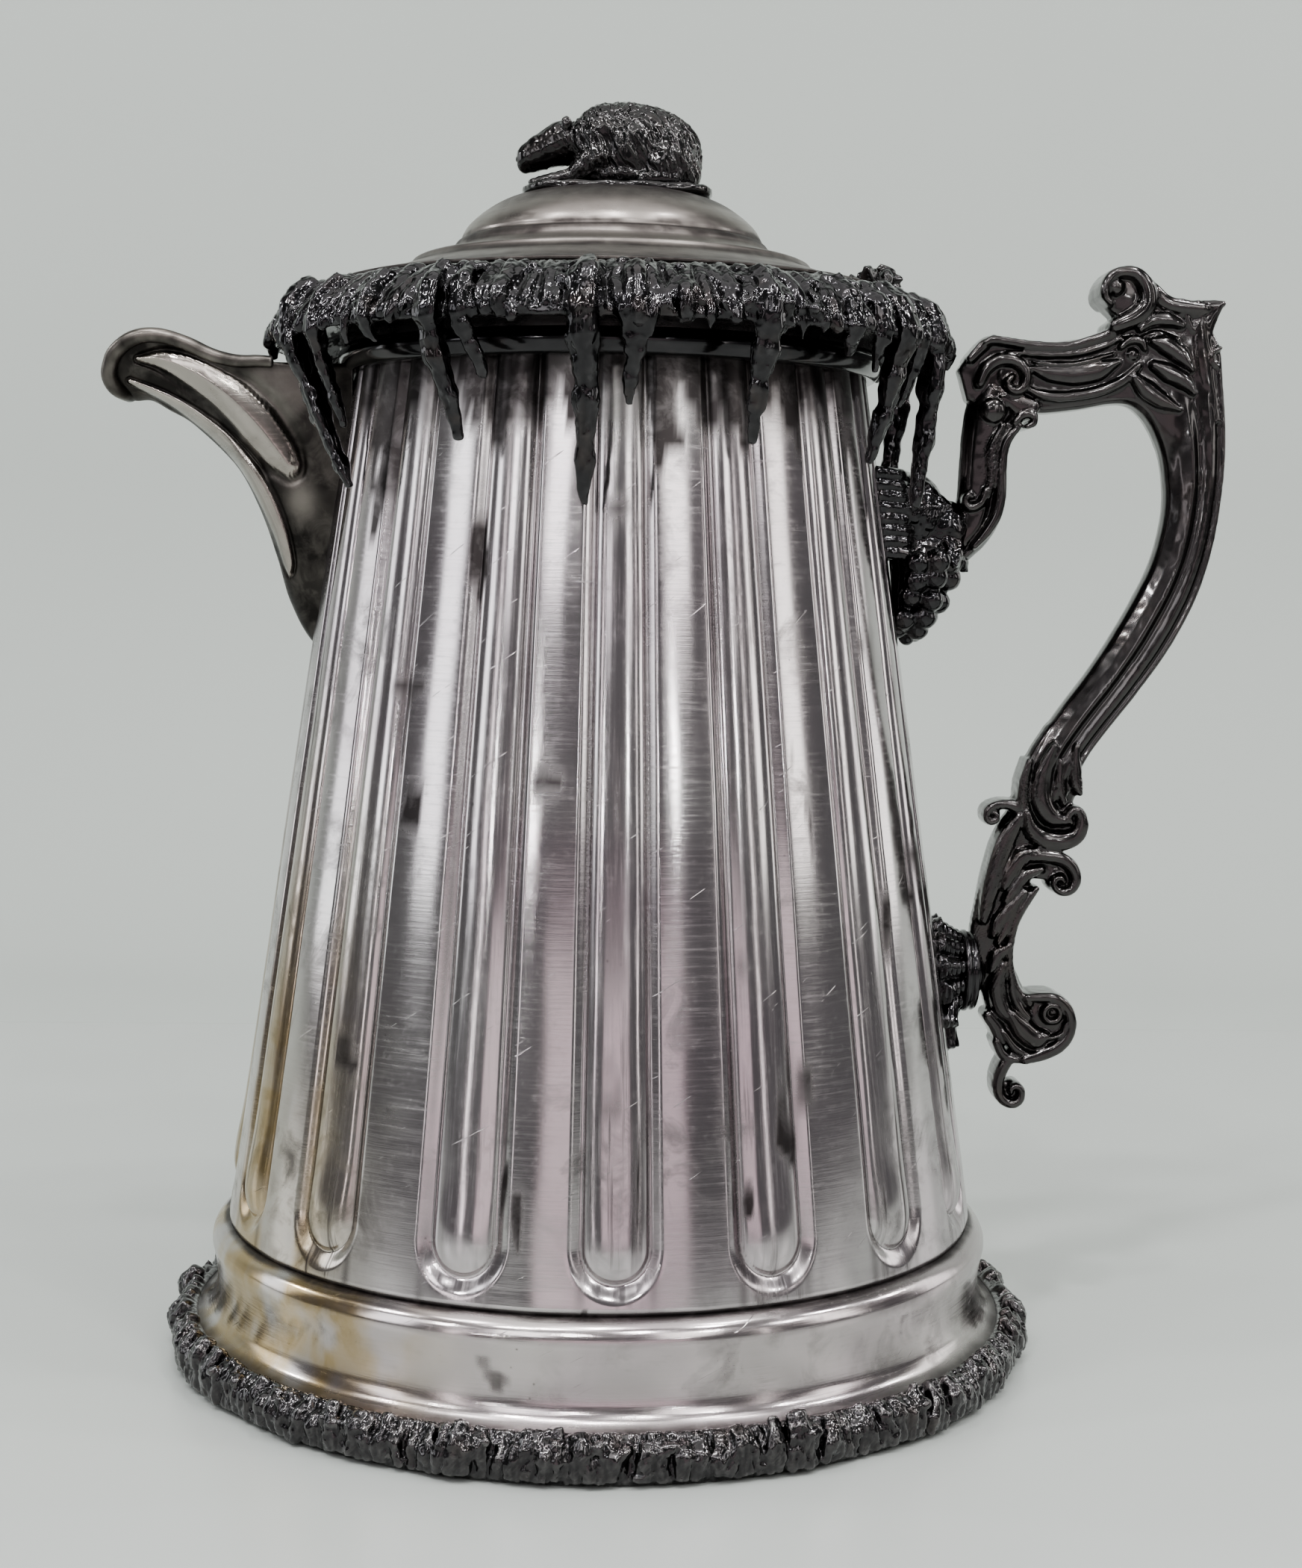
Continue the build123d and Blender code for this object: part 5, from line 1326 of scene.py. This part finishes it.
set_co(lb, co + no * (bead + 0.10 * fbm(co, 1.3, 91, 3))[:, None])
prof = crom([(0.1, 93.5), (7.5, 93.5), (10.2, 93.8), (10.7, 94.8), (10.2, 95.7), (10.4, 96.6), (9.6, 97.5), (7.0, 97.6), (0.1, 97.6)], 4)
T = circle(90)
V, F = rev(np.vstack([[(0, 93.5)], prof[1:-1], [(0, 97.6)]]), T, False)
V = np.stack([V[:, 2], V[:, 1], 96.5 + V[:, 0]], -1)
F = [tuple(f)[::-1] for f in F]
make("handle_collar_ring", V, F, M_DARK, "jug", ["handle_collar"])

# ------------------------------------------------------------------ CAD nodes that stay, with better finishes
for node, mat in (("base_plate", M_PLAIN), ("inner_liner", M_PLAIN), ("top_collar", M_COLLAR), ("spout_throat", M_PLAIN), ("spout_strainer", M_PLAIN),
                  ("lid_lining", M_PLAIN), ("finial_stud", M_BRASS), ("finial_washer", M_BRASS), ("finial_nut", M_BRASS),
                  ("hinge_fixed_leaf", M_DARK), ("hinge_lid_leaf", M_DARK), ("hinge_pin", M_STEEL)):
    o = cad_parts[node]
    o.data.materials.clear()
    o.data.materials.append(mat)

# ------------------------------------------------------------------ stage
def stage_mat(name, col, rough):
    m = NT(name)
    tc = m.n("TexCoord")
    nz = m.noise(tc.outputs["Object"], 3.0, 3.0, 0.5)
    c = m.mix(m.ramp(nz, [(0.3, 0.0), (0.8, 1.0)]), tuple(col), tuple(0.97 * v for v in col))
    m.l(c, m.p.inputs["Base Color"])
    m.p.inputs["Roughness"].default_value = rough
    return m.mat


S_FLOOR = stage_mat("stage_floor_mat", (0.50, 0.525, 0.505), 0.30)
S_WALL = stage_mat("stage_wall_mat", (0.49, 0.52, 0.495), 0.8)
W = 1600.0
fl = make("stage_floor", [(-W, -W, -0.05), (W, -W, -0.05), (W, W, -0.05), (-W, W, -0.05)], [(0, 1, 2, 3)], S_FLOOR, None)
pts = [(0, -0.05), (0, -0.05)]
arc = [(520 + 260 * math.sin(t), 260 - 260 * math.cos(t) - 0.04) for t in np.linspace(0, PI / 2, 16)]
arc = [(420.0, -0.04)] + arc + [(780.0, 2200.0)]
V, F = [], []
for y, z in arc:
    V += [(-W * 1.2, y, z), (W * 1.2, y, z)]
for i in range(len(arc) - 1):
    F.append((2 * i, 2 * i + 1, 2 * i + 3, 2 * i + 2))
wall = make("stage_backdrop", V, F, S_WALL, None)

# ------------------------------------------------------------------ camera (fitted to the photograph)
CAM = np.array([-10.69485023, -589.20858613, 194.33718802]) * 0.001
YAW, PITCH, ROLL, FPX = 0.0383446, -0.0841407, 0.0142892, 3053.675
cy, sy = math.cos(YAW), math.sin(YAW)
cp, sp = math.cos(PITCH), math.sin(PITCH)
fwd = Vector((sy * cp, cy * cp, sp))
right = Vector((cy, -sy, 0))
upv = right.cross(fwd)
r2 = math.cos(ROLL) * right + math.sin(ROLL) * upv
u2 = -math.sin(ROLL) * right + math.cos(ROLL) * upv
cam = bpy.data.cameras.new("cam")
cam.sensor_fit = "VERTICAL"
cam.sensor_height = 24.0
cam.sensor_width = 24.0 * 1744 / 2100
cam.lens = FPX / 2100 * 24.0
cam.clip_start = 0.01
co_ = bpy.data.objects.new("camera", cam)
Rm = Matrix((r2, u2, -fwd)).transposed()
co_.matrix_world = Matrix.Translation(Vector(CAM)) @ Rm.to_4x4()
scene.collection.objects.link(co_)
scene.camera = co_

# ------------------------------------------------------------------ light
world = bpy.data.worlds.new("w")
scene.world = world
world.use_nodes = True
bg = world.node_tree.nodes["Background"]
bg.inputs[0].default_value = (0.52, 0.51, 0.53, 1)
bg.inputs[1].default_value = 0.26


def area(name, loc, target, size, power, col=(1, 1, 1), shape="RECTANGLE"):
    l = bpy.data.lights.new(name, "AREA")
    l.shape = shape
    l.size, l.size_y = size
    l.energy = power
    l.color = col
    o = bpy.data.objects.new(name, l)
    o.location = loc
    d = Vector(target) - Vector(loc)
    o.rotation_euler = d.to_track_quat("-Z", "Y").to_euler()
    scene.collection.objects.link(o)
    return o


def ring_box(name, az, el, dist, w, h, rad, col=(1, 1, 1)):
    """Softbox at azimuth az (deg, 0 behind the camera, + to the camera's right) and elevation el, radiance rad."""
    a, e = math.radians(az - 90), math.radians(el)
    loc = (dist * math.cos(e) * math.cos(a), dist * math.cos(e) * math.sin(a), 0.15 + dist * math.sin(e))
    return area(name, loc, (0, 0, 0.15), (w, h), rad * PI * w * h, col)


area("top", (0.0, -0.15, 1.5), (0, 0.05, 0.1), (1.6, 1.2), 1.1 * PI * 1.92, (1.0, 0.995, 0.98))
ring_box("front_a", -23, 25, 1.5, 0.38, 0.42, 3.3, (1.0, 0.98, 1.0))
ring_box("front_b", 24, 24, 1.5, 0.36, 0.42, 3.1, (1.0, 0.985, 0.97))
ring_box("mid_left", -62, 18, 1.5, 0.34, 0.7, 2.6, (0.96, 0.97, 1.0))
ring_box("mid_right", 68, 18, 1.5, 0.34, 0.7, 2.6, (1.0, 0.98, 0.95))
ring_box("left", -104, 14, 1.4, 0.42, 0.8, 2.0, (0.96, 0.98, 1.0))
ring_box("right", 110, 14, 1.4, 0.40, 0.8, 2.0, (1.0, 0.99, 0.97))
ring_box("low_front", 2, 1, 1.7, 1.3, 0.30, 0.85, (1.0, 0.83, 0.87))
ring_box("strip_l", -40, 8, 1.35, 0.05, 0.6, 4.5, (1.0, 0.93, 0.95))
ring_box("strip_r", 45, 8, 1.35, 0.045, 0.6, 4.0, (1.0, 0.95, 0.93))
for j_, (az_, el_, sz_, rad_l) in enumerate([(-30, 48, 0.07, 170), (12, 40, 0.06, 170), (42, 52, 0.07, 150), (-75, 42, 0.07, 130), (80, 40, 0.07, 130), (0, 66, 0.08, 130),
                                            (-8, 27, 0.05, 150), (32, 30, 0.05, 150), (-48, 30, 0.05, 150), (58, 30, 0.05, 150), (-18, 56, 0.07, 170),
                                            (-60, 58, 0.07, 150), (62, 62, 0.07, 150), (20, 12, 0.035, 90), (-30, 10, 0.035, 90), (100, 28, 0.06, 130), (-105, 28, 0.06, 130)]):
    ring_box("spot_%d" % j_, az_, el_, 1.45, sz_, sz_, rad_l)
scene.view_settings.view_transform = "AgX"
scene.view_settings.look = "AgX - Medium High Contrast"
scene.view_settings.exposure = 0.0
